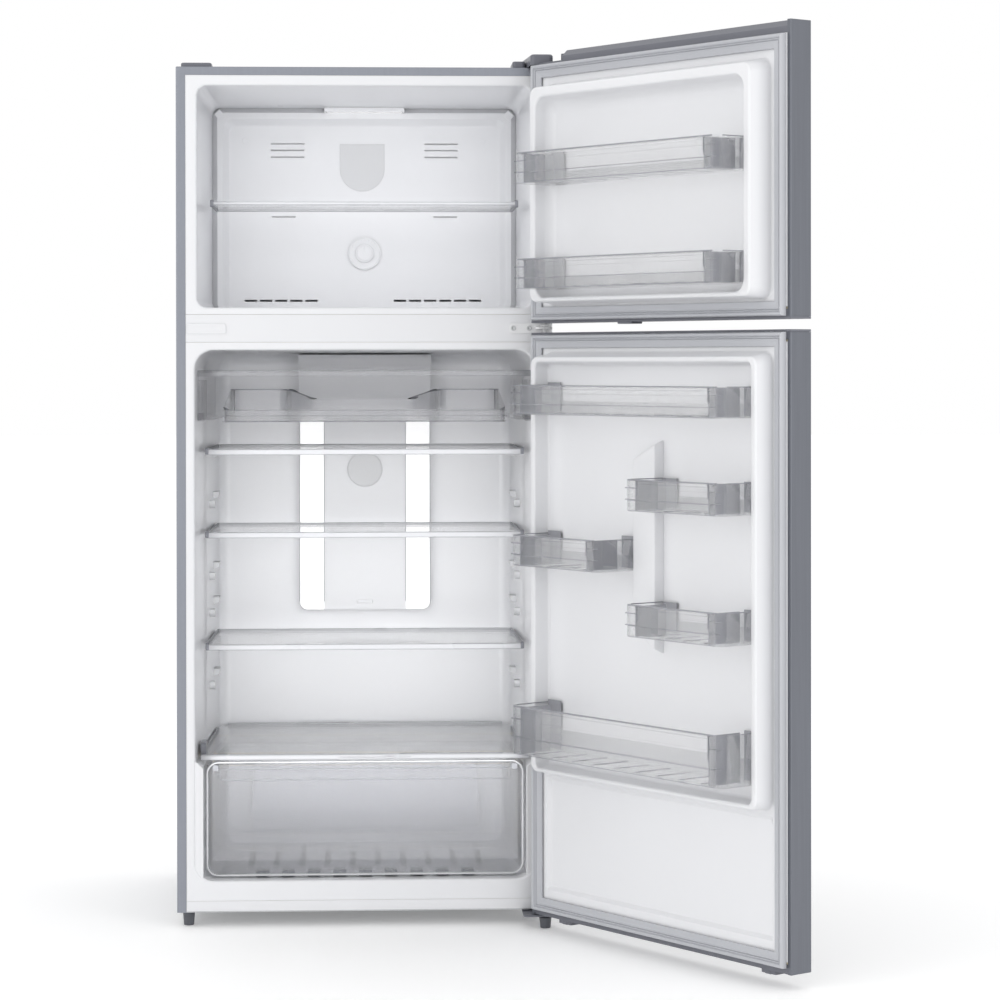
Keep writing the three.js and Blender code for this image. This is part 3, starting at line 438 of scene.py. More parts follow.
def build_casing():
    low, high = span("cabinet_shell")
    bm = bmesh.new()
    block(bm, (low.x, high.x), (low.y, high.y), (low.z, high.z))
    open_faces = [f for f in bm.faces if f.normal.y > 0.9 or f.normal.z < -0.9]
    bmesh.ops.delete(bm, geom=open_faces, context="FACES")
    mouth = window(bm, Y, low.y, (low.x + FLANGE_SIDE, high.x - FLANGE_SIDE), (low.z, high.z - FLANGE_TOP))
    bmesh.ops.delete(bm, geom=mouth, context="FACES")
    for side in (low.x, high.x):
        inner = Vector((math.copysign(abs(side) - FLANGE_SIDE, side), low.y, high.z - FLANGE_TOP))
        across = inner - Vector((side, low.y, high.z))
        corner = [f for f in bm.faces if f.normal.y < -0.9 and (f.calc_center_median() - inner).length < 400]
        slice_faces(bm, corner, inner, across.cross(BACK))
    mitres = [e for e in bm.edges if e.calc_face_angle(9) < 0.01
              and all(abs(c) > 0.3 for c in (e.verts[0].co - e.verts[1].co).normalized().xz)]
    bmesh.ops.bevel(bm, geom=mitres, offset=0.5, offset_type="OFFSET", segments=2, profile=0.5,
                    affect="EDGES", material=-1)
    outer = [e for e in sharp(bm) if max(abs(abs(v.co.x) - high.x) for v in e.verts) < 1
             or min(v.co.z for v in e.verts) > high.z - 1]
    round_off(bm, outer, 2.2, 4)
    make(bm, "casing_sheet", "steel", "cabinet", ["cabinet_shell"], wall=size("sheet_thickness"))


# ---------------------------------------------------------------- liners
FREEZER_MOUTH = {"half": 338, "z": (1252, 1700), "corner": 20, "rear_half": 332, "rear": 575}
FRIDGE_MOUTH = {"half": 343, "z": (93, 1166), "corner": 38, "rear_half": 322, "rear": 570}
WALL_STEP = {"y": 225, "half": 336.0, "in": 4.5}
HUMP = {"y": 392, "z": 300}
LEDGE_LEVELS = (949, 862, 778, 710, 635, 547, 480)
BUMP_LEVELS = (845, 692, 614, 460)
BUMP_Y = 308


def fridge_wall(y):
    """Half width of the fridge compartment at depth y."""
    if y < WALL_STEP["y"]:
        return FRIDGE_MOUTH["half"] + (WALL_STEP["half"] - FRIDGE_MOUTH["half"]) * y / WALL_STEP["y"]
    start = WALL_STEP["half"] - WALL_STEP["in"]
    share = (y - WALL_STEP["y"]) / (FRIDGE_MOUTH["rear"] - WALL_STEP["y"])
    return start + (FRIDGE_MOUTH["rear_half"] - start) * share


def build_freezer_liner():
    low, high = span("freezer_liner")
    m = FREEZER_MOUTH
    bm = bmesh.new()
    skin(bm, [
        (low.y, (low.x, high.x), (low.z, high.z), 0.5),
        (low.y, (-m["half"], m["half"]), m["z"], m["corner"]),
        (m["rear"], (-m["rear_half"], m["rear_half"]), (m["z"][0], m["z"][1] - 3), m["corner"]),
    ])
    round_off(bm, at_depth(bm, m["rear"]), 16, 5)
    round_off(bm, at_depth(bm, low.y), 5, 4)
    make(bm, "freezer_liner_tub", "white", "cabinet", ["freezer_liner"], wall=size("liner_wall"))


def build_fridge_liner():
    low, high = span("fridge_liner")
    m = FRIDGE_MOUTH
    step = WALL_STEP
    bm = bmesh.new()
    z = m["z"]
    inner = step["half"] - step["in"]
    skin(bm, [
        (low.y, (low.x, high.x), (low.z, high.z), 0.5),
        (low.y, (-m["half"], m["half"]), z, m["corner"]),
        (step["y"], (-step["half"], step["half"]), (z[0], z[1] - 2), m["corner"]),
        (step["y"] + 7, (-inner, inner), (z[0], z[1] - 2), m["corner"] - 4),
        (m["rear"], (-m["rear_half"], m["rear_half"]), (z[0], z[1] - 6), m["corner"] - 4),
    ])
    round_off(bm, at_depth(bm, m["rear"]), 26, 7)
    round_off(bm, at_depth(bm, low.y), 5, 4)
    make(bm, "fridge_liner_tub", "white", "cabinet", ["fridge_liner"], wall=size("liner_wall"))


def build_liner_ledges():
    """The hump over the machine room, and the ledges and bumps that carry the shelves."""
    m = FRIDGE_MOUTH
    half = fridge_wall(480)
    bm = bmesh.new()
    hump = block(bm, (-half, half), (HUMP["y"], m["rear"] - 4), (m["z"][0] + 1, HUMP["z"]))
    top_front = [e for e in along(hump, X) if min(v.co.z for v in e.verts) > HUMP["z"] - 1
                 and max(v.co.y for v in e.verts) < HUMP["y"] + 1]
    round_off(bm, top_front, 22, 8)
    for side in (-1, 1):
        for level in LEDGE_LEVELS:
            wall = fridge_wall(425)
            across = sorted((side * (wall + 2), side * (wall - 13)))
            verts = block(bm, across, (396, 446), (level - 13, level + 1))
            lower = [e for e in along(verts, Y) if e.verts[0].co.z < level - 10 and abs(e.verts[0].co.x) < wall]
            round_off(bm, lower, 9, 6)
        for level in BUMP_LEVELS:
            verts = rod(bm, (side * (fridge_wall(BUMP_Y) - 5), BUMP_Y, level), 13, 14, X, 32)
            cut = bmesh.ops.bisect_plane(
                bm, geom=verts + list(own_edges(verts)) + list({f for v in verts for f in v.link_faces}),
                plane_co=(0, 0, level + 4), plane_no=(0, 0, 1), clear_outer=True)["geom_cut"]
            bmesh.ops.contextual_create(bm, geom=[e for e in cut if isinstance(e, bmesh.types.BMEdge)])
    # The ledges, bumps and hump take the grey copy of the liner, painted shade.
    make(bm, "liner_ledges", "shaded_liner", "cabinet", edge=1.0)


def build_front_strips():
    low, high = span("mullion_cover")
    bm = bmesh.new()
    bar(bm, (low.x, high.x), (low.y, high.y), (low.z, high.z), 1.2, X, 3)
    make(bm, "mullion_strip", "panel_white", "cabinet", ["mullion_cover"])
    low, high = span("mullion_cap")
    bm = bmesh.new()
    verts = block(bm, (low.x, high.x), (low.y - 0.6, high.y), (low.z, high.z))
    round_off(bm, along(verts, Y), 5, 5)
    emboss(bm, Y, low.y - 0.6, (low.x + 2, high.x - 6), (low.z + 4, high.z - 4), 1.2, -0.8)
    make(bm, "mullion_blank", "panel_white", "cabinet", ["mullion_cap"], edge=0.5)
    low, high = span("kick_strip")
    bm = bmesh.new()
    bar(bm, (low.x, high.x), (low.y, high.y), (low.z, high.z), 1.0, X, 3)
    make(bm, "kick_board", "panel_white", "cabinet", ["kick_strip"])


# ---------------------------------------------------------------- freezer fittings
VENT = {"x": (-206, 130), "wide": 76, "rows": (1588, 1603, 1617), "tall": 6}
LOW_VENT = {"x": (-204, 150), "wide": 54, "rows": (1457, 1478)}
RETURN_SLOTS = {"z": (1274, 1278.5), "left": (-262, -103), "right": (64, 262), "wide": 27, "gap": 6}
SHIELD = {"x": -5, "half": 49, "z": (1516, 1620)}
COVER_RECESS = {"half": 296, "z": (1256, 1659), "y": 503.0}


def build_evaporator_cover():
    low, high = span("evaporator_cover")
    r = COVER_RECESS
    crown = low.y - 9
    reach = (low.x - 4, high.x + 4)
    bm = bmesh.new()
    skin(bm, [
        (high.y, (low.x, high.x), (low.z, high.z), 14),
        (low.y + 8, reach, (low.z, high.z + 2.4), 16),
        (crown, (low.x + 9, high.x - 9), (low.z + 0.6, high.z - 9), 16),
        (crown, (low.x + 21, high.x - 21), (low.z + 1.4, high.z - 22), 20),
        (r["y"], (-r["half"], r["half"]), r["z"], 16),
    ])
    round_off(bm, at_depth(bm, r["y"]), 3, 3)
    round_off(bm, at_depth(bm, crown), 3.5, 4)
    round_off(bm, at_depth(bm, low.y + 8), 3, 3)
    for x in VENT["x"]:
        for z in VENT["rows"]:
            pierce(bm, Y, r["y"], (x, x + VENT["wide"]), (z, z + VENT["tall"]), 1.6, 1.2)
    for x in LOW_VENT["x"]:
        for z in LOW_VENT["rows"]:
            pierce(bm, Y, r["y"], (x, x + LOW_VENT["wide"]), (z, z + VENT["tall"]), 1.4, 1.0)
    s = RETURN_SLOTS
    for start, end in (s["left"], s["right"]):
        x = start
        while x + s["wide"] <= end + 1:
            pierce(bm, Y, r["y"], (x, x + s["wide"]), s["z"])
            x += s["wide"] + s["gap"]
    make(bm, "freezer_back_cover", "panel_white", "cabinet", ["evaporator_cover"], wall=2.4)


def build_vent_louvres():
    y = COVER_RECESS["y"]
    tilt = Matrix.Rotation(math.radians(-14), 3, "X")
    bm = bmesh.new()
    for group in (VENT, LOW_VENT):
        for x in group["x"]:
            for z in group["rows"]:
                across = (x - 2, x + group["wide"] + 2)
                verts = block(bm, across, (y + 3.4, y + 4.4), (z - 4, z + VENT["tall"] + 4))
                bmesh.ops.rotate(bm, cent=(x, y + 4, z), matrix=tilt, verts=verts)
    make(bm, "vent_louvres", "panel_white", "cabinet")


def build_cover_shield():
    y = COVER_RECESS["y"]
    bm = bmesh.new()
    across = (SHIELD["x"] - SHIELD["half"], SHIELD["x"] + SHIELD["half"])
    verts = block(bm, across, (y - 1.6, y + 0.4), SHIELD["z"])
    lower = [e for e in along(verts, Y) if e.verts[0].co.z < SHIELD["z"][0] + 1]
    round_off(bm, lower, SHIELD["half"] - 0.5, 16)
    step_in(bm, front_disc(bm), (2.4, 0), (1.2, -0.7))
    make(bm, "cover_shield", "shaded_liner", "cabinet", edge=0.4)


def build_cover_clips():
    """Two round plugs and two turned corner clips on the back cover."""
    low, high = span("evaporator_cover")
    turn = Matrix.Rotation(math.radians(45), 3, "Y")
    bm = bmesh.new()
    for x in (-260, 258):
        rod(bm, (x, COVER_RECESS["y"] - 1.2, 1626), 7, 2.8, Y, 32, tip=6.4)
    for x in (-316, 316):
        verts = block(bm, (x - 9, x + 9), (low.y - 10, low.y + 2), (high.z - 22, high.z - 6))
        bmesh.ops.rotate(bm, cent=(x, low.y, high.z - 14), matrix=turn, verts=verts)
    make(bm, "cover_clips", "panel_white", "cabinet", edge=0.4)


def build_freezer_lamp():
    low, high = span("freezer_light")
    bm = bmesh.new()
    verts = block(bm, (low.x, high.x), (low.y, high.y), (low.z, high.z + 2))
    round_off(bm, along(verts, Z), 5, 4)
    round_off(bm, [e for e in sharp(bm) if max(v.co.z for v in e.verts) < low.z + 1], 3, 3)
    make(bm, "ceiling_lamp", "lamp", "cabinet", ["freezer_light"])
    bm = bmesh.new()
    for x in (low.x - 4, high.x + 1):
        bar(bm, (x, x + 3), (low.y - 2, high.y + 2), (low.z - 1, high.z + 1), 1.2, Y, 3)
    bar(bm, (low.x - 4, high.x + 4), (low.y - 4, low.y - 1), (low.z, high.z + 1), 1.2, X, 3)
    make(bm, "lamp_bezel", "panel_white", "cabinet")


def build_dial():
    low, high = span("dial_plate")
    centre_z = (low.z + high.z) / 2
    radius = (high.z - low.z) / 2
    bm = bmesh.new()
    rod(bm, (0, (low.y + high.y) / 2 - 0.4, centre_z), radius, high.y - low.y, Y, 96, tip=radius)
    step_in(bm, front_disc(bm), (2.5, 0), (1.0, -1.0), (8.5, 0))
    for step in range(9):
        angle = math.radians(-60 + step * 15)
        verts = block(bm, (-0.7, 0.7), (low.y - 0.6, low.y + 1.5), (centre_z + radius - 9, centre_z + radius - 5))
        bmesh.ops.rotate(bm, cent=(0, 0, centre_z), matrix=Matrix.Rotation(angle, 3, "Y"), verts=verts)
    make(bm, "dial_scale", "panel_white", "cabinet", ["dial_plate"], edge=0.4)

    low, high = span("dial_knob")
    bm = bmesh.new()
    rod(bm, (0, low.y + 10.5, centre_z), 18.5, 7, Y, 64, tip=21)
    flip = Matrix.Rotation(math.pi, 3, "X")
    bmesh.ops.rotate(bm, cent=(0, low.y + 10.5, centre_z), matrix=flip, verts=bm.verts)
    round_off(bm, sharp(bm), 1.6, 4)
    rod(bm, (0, low.y + 5, centre_z), 16, 6, Y, 64, tip=15)
    bar(bm, (-1, 1), (low.y + 0.6, low.y + 3), (centre_z + 6, centre_z + 14), 0.8, Z, 3)
    rod(bm, (0, low.y + 20, centre_z), 5, 14, Y, 24)
    make(bm, "dial_grip", "panel_white", "dial_knob", ["dial_knob"], edge=0.6)


# ---------------------------------------------------------------- shelves
def tapered(verts, front_half, back_half, front, back):
    """Narrows corners towards the back, as the compartment does."""
    for v in verts:
        share = (v.co.y - front) / (back - front)
        v.co.x *= (front_half + (back_half - front_half) * share) / front_half


def build_shelf(node, trim_tall):
    low, high = span(node)
    front_half = high.x
    back_half = front_half if node == "freezer_shelf" else front_half - 7
    top = low.z + (8 if node == "freezer_shelf" else 10)
    bm = bmesh.new()
    glass_z = (top - 5, top - 5 + size("glass_thickness"))
    verts = block(bm, (low.x + 4, high.x - 4), (low.y + 6, high.y - 5), glass_z)
    tapered(verts, front_half, back_half, low.y, high.y)
    make(bm, node + "_pane", "glass", node, [node], edge=0.8)

    bm = bmesh.new()
    bar(bm, (low.x + 2, high.x - 2), (low.y, low.y + 13), (top - trim_tall + 1, top + 1), 3, X, 5)
    rear = block(bm, (low.x + 3, high.x - 3), (high.y - 10, high.y), (top - 8, top + 2))
    round_off(bm, along(rear, X), 2.5, 4)
    tapered([v for v in bm.verts if v.co.y > high.y - 12], front_half, back_half, low.y, high.y)
    make(bm, node + "_edging", "frosted", node)

    bm = bmesh.new()
    for side in (-1, 1):
        strip = sorted((side * front_half, side * (front_half - 5)))
        verts = block(bm, strip, (low.y + 1, high.y), (top - 8, top + 1.5))
        tapered(verts, front_half, back_half, low.y, high.y)
        clip = sorted((side * front_half, side * (front_half - 7)))
        bar(bm, clip, (low.y - 1, low.y + 22), (top - 10, top + 4), 3, X, 4)
    make(bm, node + "_side_clips", "clip", node, edge=0.8)


# ---------------------------------------------------------------- air duct and lights
DUCT_CURVE = {"wall": 540.0, "from": 1040.0, "head_y": 452.0, "head_z": 1128.0}
BADGE = {"z": 905, "radius": 39}


def build_air_duct():
    low, high = span("air_duct")
    c = DUCT_CURVE
    bm = bmesh.new()
    outline = [
        (high.y, low.z), (c["wall"], low.z), (c["wall"], c["from"]), (c["head_y"] + 30, c["head_z"] - 24),
        (c["head_y"], c["head_z"] + 2), (low.y, high.z - 10), (low.y + 3, high.z), (high.y, high.z),
    ]
    verts = [bm.verts.new((low.x, y, z)) for y, z in outline]
    bm.faces.new(verts)
    bmesh.ops.bevel(bm, geom=[verts[2], verts[3]], offset=44, offset_type="OFFSET", segments=10, profile=0.5,
                    affect="VERTICES", material=-1)
    made = bmesh.ops.extrude_face_region(bm, geom=bm.faces[:])["geom"]
    far_side = [g for g in made if isinstance(g, bmesh.types.BMVert)]
    bmesh.ops.translate(bm, vec=(high.x - low.x, 0, 0), verts=far_side)
    bmesh.ops.recalc_face_normals(bm, faces=bm.faces)
    lower = [e for e in sharp(bm) if max(v.co.z for v in e.verts) < low.z + 1
             and abs(e.verts[0].co.y - e.verts[1].co.y) > 5]
    round_off(bm, lower, 17, 8)
    slot_faces = window(bm, Y, c["wall"], (-19, 19), (607, 619))
    bmesh.ops.inset_region(bm, faces=slot_faces, thickness=2.0, depth=0.8, use_even_offset=True)
    bmesh.ops.inset_region(bm, faces=slot_faces, thickness=1.0, depth=-3.0, use_even_offset=True)
    make(bm, "air_duct_cover", "panel_white", "cabinet", ["air_duct"], edge=1.2)


def build_round_plate():
    bm = bmesh.new()
    rod(bm, (0, span("led_strip_left")[0].y, BADGE["z"]), BADGE["radius"], 2.4, Y, 96)
    step_in(bm, front_disc(bm), (1.6, 0), (0.8, -0.9), (13, 0), (1.2, 0.6))
    make(bm, "duct_round_plate", "shaded_liner", "cabinet", edge=0.3)


def build_light_strips():
    """The two diffusers and the fine seams beside them."""
    bm = bmesh.new()
    for side, node in ((-1, "led_strip_left"), (1, "led_strip_right")):
        near, far = span(node)
        inner = far.x if side < 0 else near.x
        outer = near.x if side < 0 else far.x
        for x in (inner - side * 0.6, outer + side * 0.2):
            block(bm, (x - 0.6, x + 0.6), (near.y - 1.4, near.y + 3), (near.z + 18, far.z))
    make(bm, "duct_seams", "line", "cabinet")

    for side, node in ((-1, "led_strip_left"), (1, "led_strip_right")):
        low, high = span(node)
        bm = bmesh.new()
        verts = block(bm, (low.x, high.x), (low.y - 1, high.y), (low.z, high.z))
        outer = [e for e in along(verts, Y) if e.verts[0].co.x * side > 100 and e.verts[0].co.z < low.z + 1]
        round_off(bm, outer, 17, 8)
        make(bm, node + "_diffuser", "led", "cabinet", [node], edge=1.2)


# ---------------------------------------------------------------- chiller
TRAY_WALL = 2.4
TRAY_INSET = 26
FRAME_TAPER = 14
TRAY_DIP = {"left": (-156, -116), "right": (106, 148), "drop": 20, "step": 44}


def build_chiller_lid():
    low, high = span("chiller_frame")
    top = high.z
    a, b = high.x, high.x - FRAME_TAPER
    bm = bmesh.new()
    verts = block(bm, (-a, a), (low.y, high.y), (top - 4, top))
    tapered(verts, a, b, low.y, high.y)
    lip = block(bm, (-a, a), (low.y, low.y + 4), (top - 12, top))
    round_off(bm, along(lip, X), 1.2, 3)
    make(bm, "chiller_lid", "tinted", "cabinet", ["chiller_frame"], edge=0.8)


def build_chiller_rails():
    low, high = span("chiller_frame")
    top = high.z
    a, b = high.x, high.x - FRAME_TAPER
    bm = bmesh.new()
    for side in (-1, 1):
        web = block(bm, sorted((side * a, side * (a - 3))), (low.y, high.y), (low.z, top - 4.5))
        rail = block(bm, sorted((side * (a - 3.4), side * (a - 31))), (low.y + 4, high.y), (low.z, low.z + 3.4))
        tapered(web + rail, a, b, low.y, high.y)
        rib = sorted((side * (a - 4), side * (a - 15)))
        bar(bm, rib, (low.y + 66, low.y + 72), (low.z + 4, top - 20), 2, Y, 3)
        bar(bm, sorted((side * a, side * (a - 14))), (low.y, low.y + 12), (low.z - 2, low.z + 14), 3, Y, 3)
    make(bm, "chiller_side_rails", "tinted", "cabinet", edge=0.8)


def build_chiller_tray():
    low, high = span("chiller_tray")
    front, back, floor = low.y, high.y, low.z
    half = high.x - TRAY_INSET
    d = TRAY_DIP
    bm = bmesh.new()
    plan = [
        (-half, front), (half, front), (half, back - 14), (half - 14, back), (d["right"][1] + 20, back),
        (d["right"][1], back - 20), (d["right"][0], back - d["step"]), (d["left"][1], back - d["step"]),
        (d["left"][0], back - 20), (d["left"][0] - 20, back), (-half + 14, back), (-half, back - 14),
    ]
    verts = [bm.verts.new((x, y, floor)) for x, y in plan]
    bm.faces.new(verts)
    bmesh.ops.bevel(bm, geom=verts, offset=11, offset_type="OFFSET", segments=5, profile=0.5,
                    affect="VERTICES", material=-1)
    rim = list(bm.edges)
    made = bmesh.ops.extrude_edge_only(bm, edges=rim)["geom"]
    top_verts = [g for g in made if isinstance(g, bmesh.types.BMVert)]
    for v in top_verts:
        share = min(1.0, max(0.0, (v.co.y - front) / 80))
        v.co.z = floor + 26 + share * (high.z - floor - 26)
        if v.co.y > back - d["step"] - 3 and d["left"][0] - 6 < v.co.x < d["right"][1] + 6:
            reach = min(v.co.x - d["left"][0], d["right"][1] - v.co.x) / (d["left"][1] - d["left"][0])
            v.co.z -= d["drop"] * min(1.0, max(0.0, reach))
    bmesh.ops.recalc_face_normals(bm, faces=bm.faces)
    if min(bm.faces, key=lambda f: f.calc_center_median().z).normal.z > 0:
        bmesh.ops.reverse_faces(bm, faces=bm.faces)
    round_off(bm, [e for e in sharp(bm) if max(v.co.z for v in e.verts) < floor + 1], 5, 4)
    top_line = [v.co.copy() for v in top_verts if v.is_valid]
    make(bm, "chiller_tray_shell", "tinted", "chiller_tray", ["chiller_tray"], wall=TRAY_WALL)
    bm = bmesh.new()
    lower = [bm.verts.new(c - Vector((0, 0, 1.8))) for c in top_line]
    upper = [bm.verts.new(c + Vector((0, 0, 0.4))) for c in top_line]
    for i in range(len(lower)):
        j = (i + 1) % len(lower)
        if (lower[i].co - lower[j].co).length < 200 or abs(lower[i].co.y - lower[j].co.y) < 1:
            bm.faces.new((lower[i], lower[j], upper[j], upper[i]))
    bmesh.ops.recalc_face_normals(bm, faces=bm.faces)
    # The rim's dark grey is painted shade along the tray's top edge.
    make(bm, "chiller_tray_rim", "line", "chiller_tray", wall=1.6)


def build_tray_ribs():
    low, high = span("chiller_tray")
    front, back, floor = low.y, high.y, low.z
    half = high.x - TRAY_INSET
    bm = bmesh.new()
    for z in (floor + 1, floor + 12, floor + 23):
        bar(bm, (-half - 2, half + 2), (front - 3, front + 1.5), (z, z + 2.2), 1, X, 3)
    for side in (-1, 1):
        runner = sorted((side * (half - 1), side * (half + 22)))
        bar(bm, runner, (front, back - 20), (floor + 11, floor + 14), 1, Y, 2)
    make(bm, "chiller_tray_ribs", "tinted", "chiller_tray")


# ---------------------------------------------------------------- crisper
DRAWER_RIBS = 10
DRAWER_LEDGE_Z = 289


def build_crisper_cover():
    low, high = span("crisper_cover")
    half = high.x - 3
    back_half = fridge_wall(high.y) - 4
    bm = bmesh.new()
    verts = block(bm, (-half, half), (low.y + 14, high.y - 3), (high.z - 5, high.z - 1))
    tapered(verts, half, back_half, low.y, high.y)
    make(bm, "crisper_glass", "glass", "cabinet", ["crisper_cover"], edge=0.8)
    bm = bmesh.new()
    bar(bm, (-half, half), (low.y - 1, low.y + 22), (low.z, high.z + 1), 3.5, X, 6)
    bar(bm, (-half + 30, half - 30), (high.y - 14, high.y - 2), (low.z + 2, high.z + 2), 2, X, 4)
    track = window(bm, Y, low.y - 1, (-52, 92), (low.z + 4, high.z - 3))
    if track:
        bmesh.ops.inset_region(bm, faces=track, thickness=0.6, depth=-1.5, use_even_offset=True)
    make(bm, "crisper_cover_edging", "frosted", "cabinet", edge=0.4)
    bm = bmesh.new()
    for side in (-1, 1):
        strip = sorted((side * (half + 2), side * (half - 4)))
        verts = block(bm, strip, (low.y + 26, high.y - 100), (high.z - 6, high.z + 4))
        tapered(verts, half, back_half, low.y, high.y)
        tab = sorted((side * (half + 2), side * (half - 9)))
        bar(bm, tab, (low.y + 24, low.y + 92), (high.z - 6, high.z + 22), 8, X, 6)
    make(bm, "crisper_cover_clips", "clip", "cabinet", edge=0.8)


def build_humidity_knob():
    low, high = span("humidity_slider")
    bm = bmesh.new()
    bar(bm, (low.x, high.x), (low.y, high.y), (low.z, high.z), 1.2, Y, 3)
    bar(bm, (low.x + 6, low.x + 10), (low.y - 3, low.y + 1), (low.z, high.z), 1, Z, 3)
    make(bm, "humidity_knob", "frosted", "humidity_slider", ["humidity_slider"], edge=0.5)


def build_drawer_box():
    low, high = span("crisper_drawer")
    bm = bmesh.new()
    verts = block(bm, (low.x, high.x), (low.y + 3, high.y), (low.z, high.z - 6))
    tapered(verts, high.x, high.x - 26, low.y, high.y)
    for v in verts:
        if v.co.y > high.y - 1 and v.co.z < low.z + 1:
            v.co.z += 10
    top = [f for f in bm.faces if f.normal.z > 0.9]
    bmesh.ops.delete(bm, geom=top, context="FACES")
    floor_edges = [e for e in sharp(bm) if max(v.co.z for v in e.verts) < low.z + 12
                   and abs(e.verts[0].co.x - e.verts[1].co.x) < 40]
    round_off(bm, floor_edges, 24, 8)
    uprights = [e for e in sharp(bm) if abs((e.verts[0].co - e.verts[1].co).normalized().z) > 0.9]
    round_off(bm, uprights, 5, 4)
    crosswise = [e for e in sharp(bm, 60) if max(v.co.z for v in e.verts) < low.z + 30]
    round_off(bm, crosswise, 4, 3)
    make(bm, "crisper_drawer_box", "drawer", "crisper_drawer", ["crisper_drawer"], wall=2.4)


def build_drawer_rim():
    low, high = span("crisper_drawer")
    bm = bmesh.new()
    skin(bm, [
        (low.y + 6, (low.x + 4, high.x - 4), (low.z + 4, high.z - 4), 20),
        (low.y, (low.x + 2.6, high.x - 2.6), (low.z + 2.4, high.z - 2.4), 22),
        (low.y, (low.x, high.x), (low.z, high.z), 24),
        (low.y + 7, (low.x, high.x), (low.z, high.z), 24),
    ], cap=False)
    bmesh.ops.recalc_face_normals(bm, faces=bm.faces)
    # The rim's opaque grey paints the highlight along the drawer's clear front edge.
    make(bm, "crisper_front_rim", "rim", "crisper_drawer", wall=1.4, edge=0.6)


def drawer_rib_places(half):
    """Pitch of the floor ribs, and where the first bay starts."""
    return (2 * half - 120) / DRAWER_RIBS, 60 - half


def build_drawer_mouldings():
    """The raised field on the drawer's back, its side ledges and its floor ribs."""
    low, high = span("crisper_drawer")
    bm = bmesh.new()
    panel = block(bm, (-250, 250), (high.y - 9, high.y - 3.5), (low.z + 34, high.z - 42))
    for v in panel:
        if v.co.z > low.z + 100:
            v.co.x *= 0.965
    round_off(bm, [e for e in along(panel, Y) if e.verts[0].co.z > low.z + 100], 22, 7)
    for side in (-1, 1):
        ledge = sorted((side * (high.x - 26), side * (high.x - 32)))
        bar(bm, ledge, (low.y + 9, high.y - 30), (DRAWER_LEDGE_Z, high.z - 8), 1.5, Y, 3)
    pitch, start = drawer_rib_places(high.x)
    for i in range(DRAWER_RIBS):
        x = start + pitch * (i + 0.5)
        bar(bm, (x - 6, x + 6), (low.y + 110, low.y + 250), (low.z + 3, low.z + 5.5), 1.2, Y, 3)
    make(bm, "crisper_inner_mouldings", "drawer", "crisper_drawer", edge=0.8)


def build_drawer_outline():
    """The polished edge round the raised field on the drawer's back."""
    low, high = span("crisper_drawer")
    bm = bmesh.new()
    front = high.y - 10
    bar(bm, (-224, 224), (front - 2.4, front), (high.z - 45, high.z - 41), 0.9, X, 2)
    for side in (-1, 1):
        verts = block(bm, sorted((side * 243, side * 247)), (front - 2.4, front), (low.z + 36, high.z - 52))
        lean = Matrix.Rotation(math.radians(side * -1.6), 3, "Y")
        bmesh.ops.rotate(bm, cent=(side * 245, front, low.z + 36), matrix=lean, verts=verts)
    make(bm, "crisper_rear_outline", "rim", "crisper_drawer", edge=0.5)


def build_drawer_pads():
    """The runner pads under the drawer's front."""
    low, high = span("crisper_drawer")
    pitch, start = drawer_rib_places(high.x)
    bm = bmesh.new()
    for i in range(DRAWER_RIBS - 1):
        x = start + pitch * (i + 1)
        block(bm, (x - 13, x + 13), (low.y + 8, low.y + 60), (low.z - 3.5, low.z - 0.5))
    make(bm, "crisper_runner_pads", "trim", "crisper_drawer", edge=0.5)


def build_drawer_lines():
    """The edges that show as dark lines near the drawer's top."""
    low, high = span("crisper_drawer")
    across = (28 - high.x, high.x - 28)
    bm = bmesh.new()
    bar(bm, across, (low.y + 28, low.y + 30), (DRAWER_LEDGE_Z - 1, DRAWER_LEDGE_Z + 1), 0.8, X, 2)
    bar(bm, across, (low.y + 8, low.y + 10), (high.z - 17, high.z - 15), 0.8, X, 2)
    for side in (-1, 1):
        lug = sorted((side * (high.x - 12), side * (high.x - 24)))
        bar(bm, lug, (low.y + 8, low.y + 26), (high.z - 20, high.z - 7), 3, Y, 4)
        upright = sorted((side * (high.x - 25), side * (high.x - 27)))
        bar(bm, upright, (low.y + 26, low.y + 28), (DRAWER_LEDGE_Z, high.z - 8), 0.8, Z, 2)
    make(bm, "crisper_top_lines", "line", "crisper_drawer", edge=0.5)


def build_drawer_cheeks():
    """The liner's thickened sides beside the drawer's front."""
    high = span("crisper_drawer")[1]
    bm = bmesh.new()
    for side in (-1, 1):
        outer, inner = side * (fridge_wall(0) + 1), side * (high.x + 5)
        verts = block(bm, sorted((outer, inner)), (1.5, 240), (FRIDGE_MOUTH["z"][0] + 2, high.z + 4))
        top_inner = [e for e in along(verts, Y) if abs(e.verts[0].co.x) < high.x + 6 and e.verts[0].co.z > high.z]
        round_off(bm, top_inner, 14, 1)
        rear = [e for e in along(verts, Z) if abs(e.verts[0].co.x) < high.x + 6 and e.verts[0].co.y > 200]
        round_off(bm, rear, 10, 4)
    make(bm, "liner_drawer_cheeks", "white", "cabinet", edge=2.5)


# ---------------------------------------------------------------- doors
INNER_FACE = -14.0
RETURN = 9
FREEZER_DYKE = {
    "outer": 331, "tip": 323, "top": 306, "root": 303, "reach": 50, "z": (1257, 1695), "ring": 22,
    "drop": 38, "lip": 28, "curve": 24, "fillet": 20,
}
FRIDGE_DYKE = {
    "outer": 336, "tip": 331, "top": 317, "root": 314, "reach": 42, "z": (322, 1160), "ring": 22,
    "drop": 24, "lip": 19, "curve": 9, "fillet": 5,
}
PAN_RISE = 8
SUNK_FIELD = {"half": 331, "z": (84, 311)}
RIB_FOOT = ((33, 624), (33, 961), (-37, 994), (-37, 585))
RIB_CREST = ((28, 632), (28, 955), (-35, 984), (-35, 595))
NOTCH = {"x": 282, "corner": 342, "z": 1743}   # in the freezer door's top corner, for the hinge


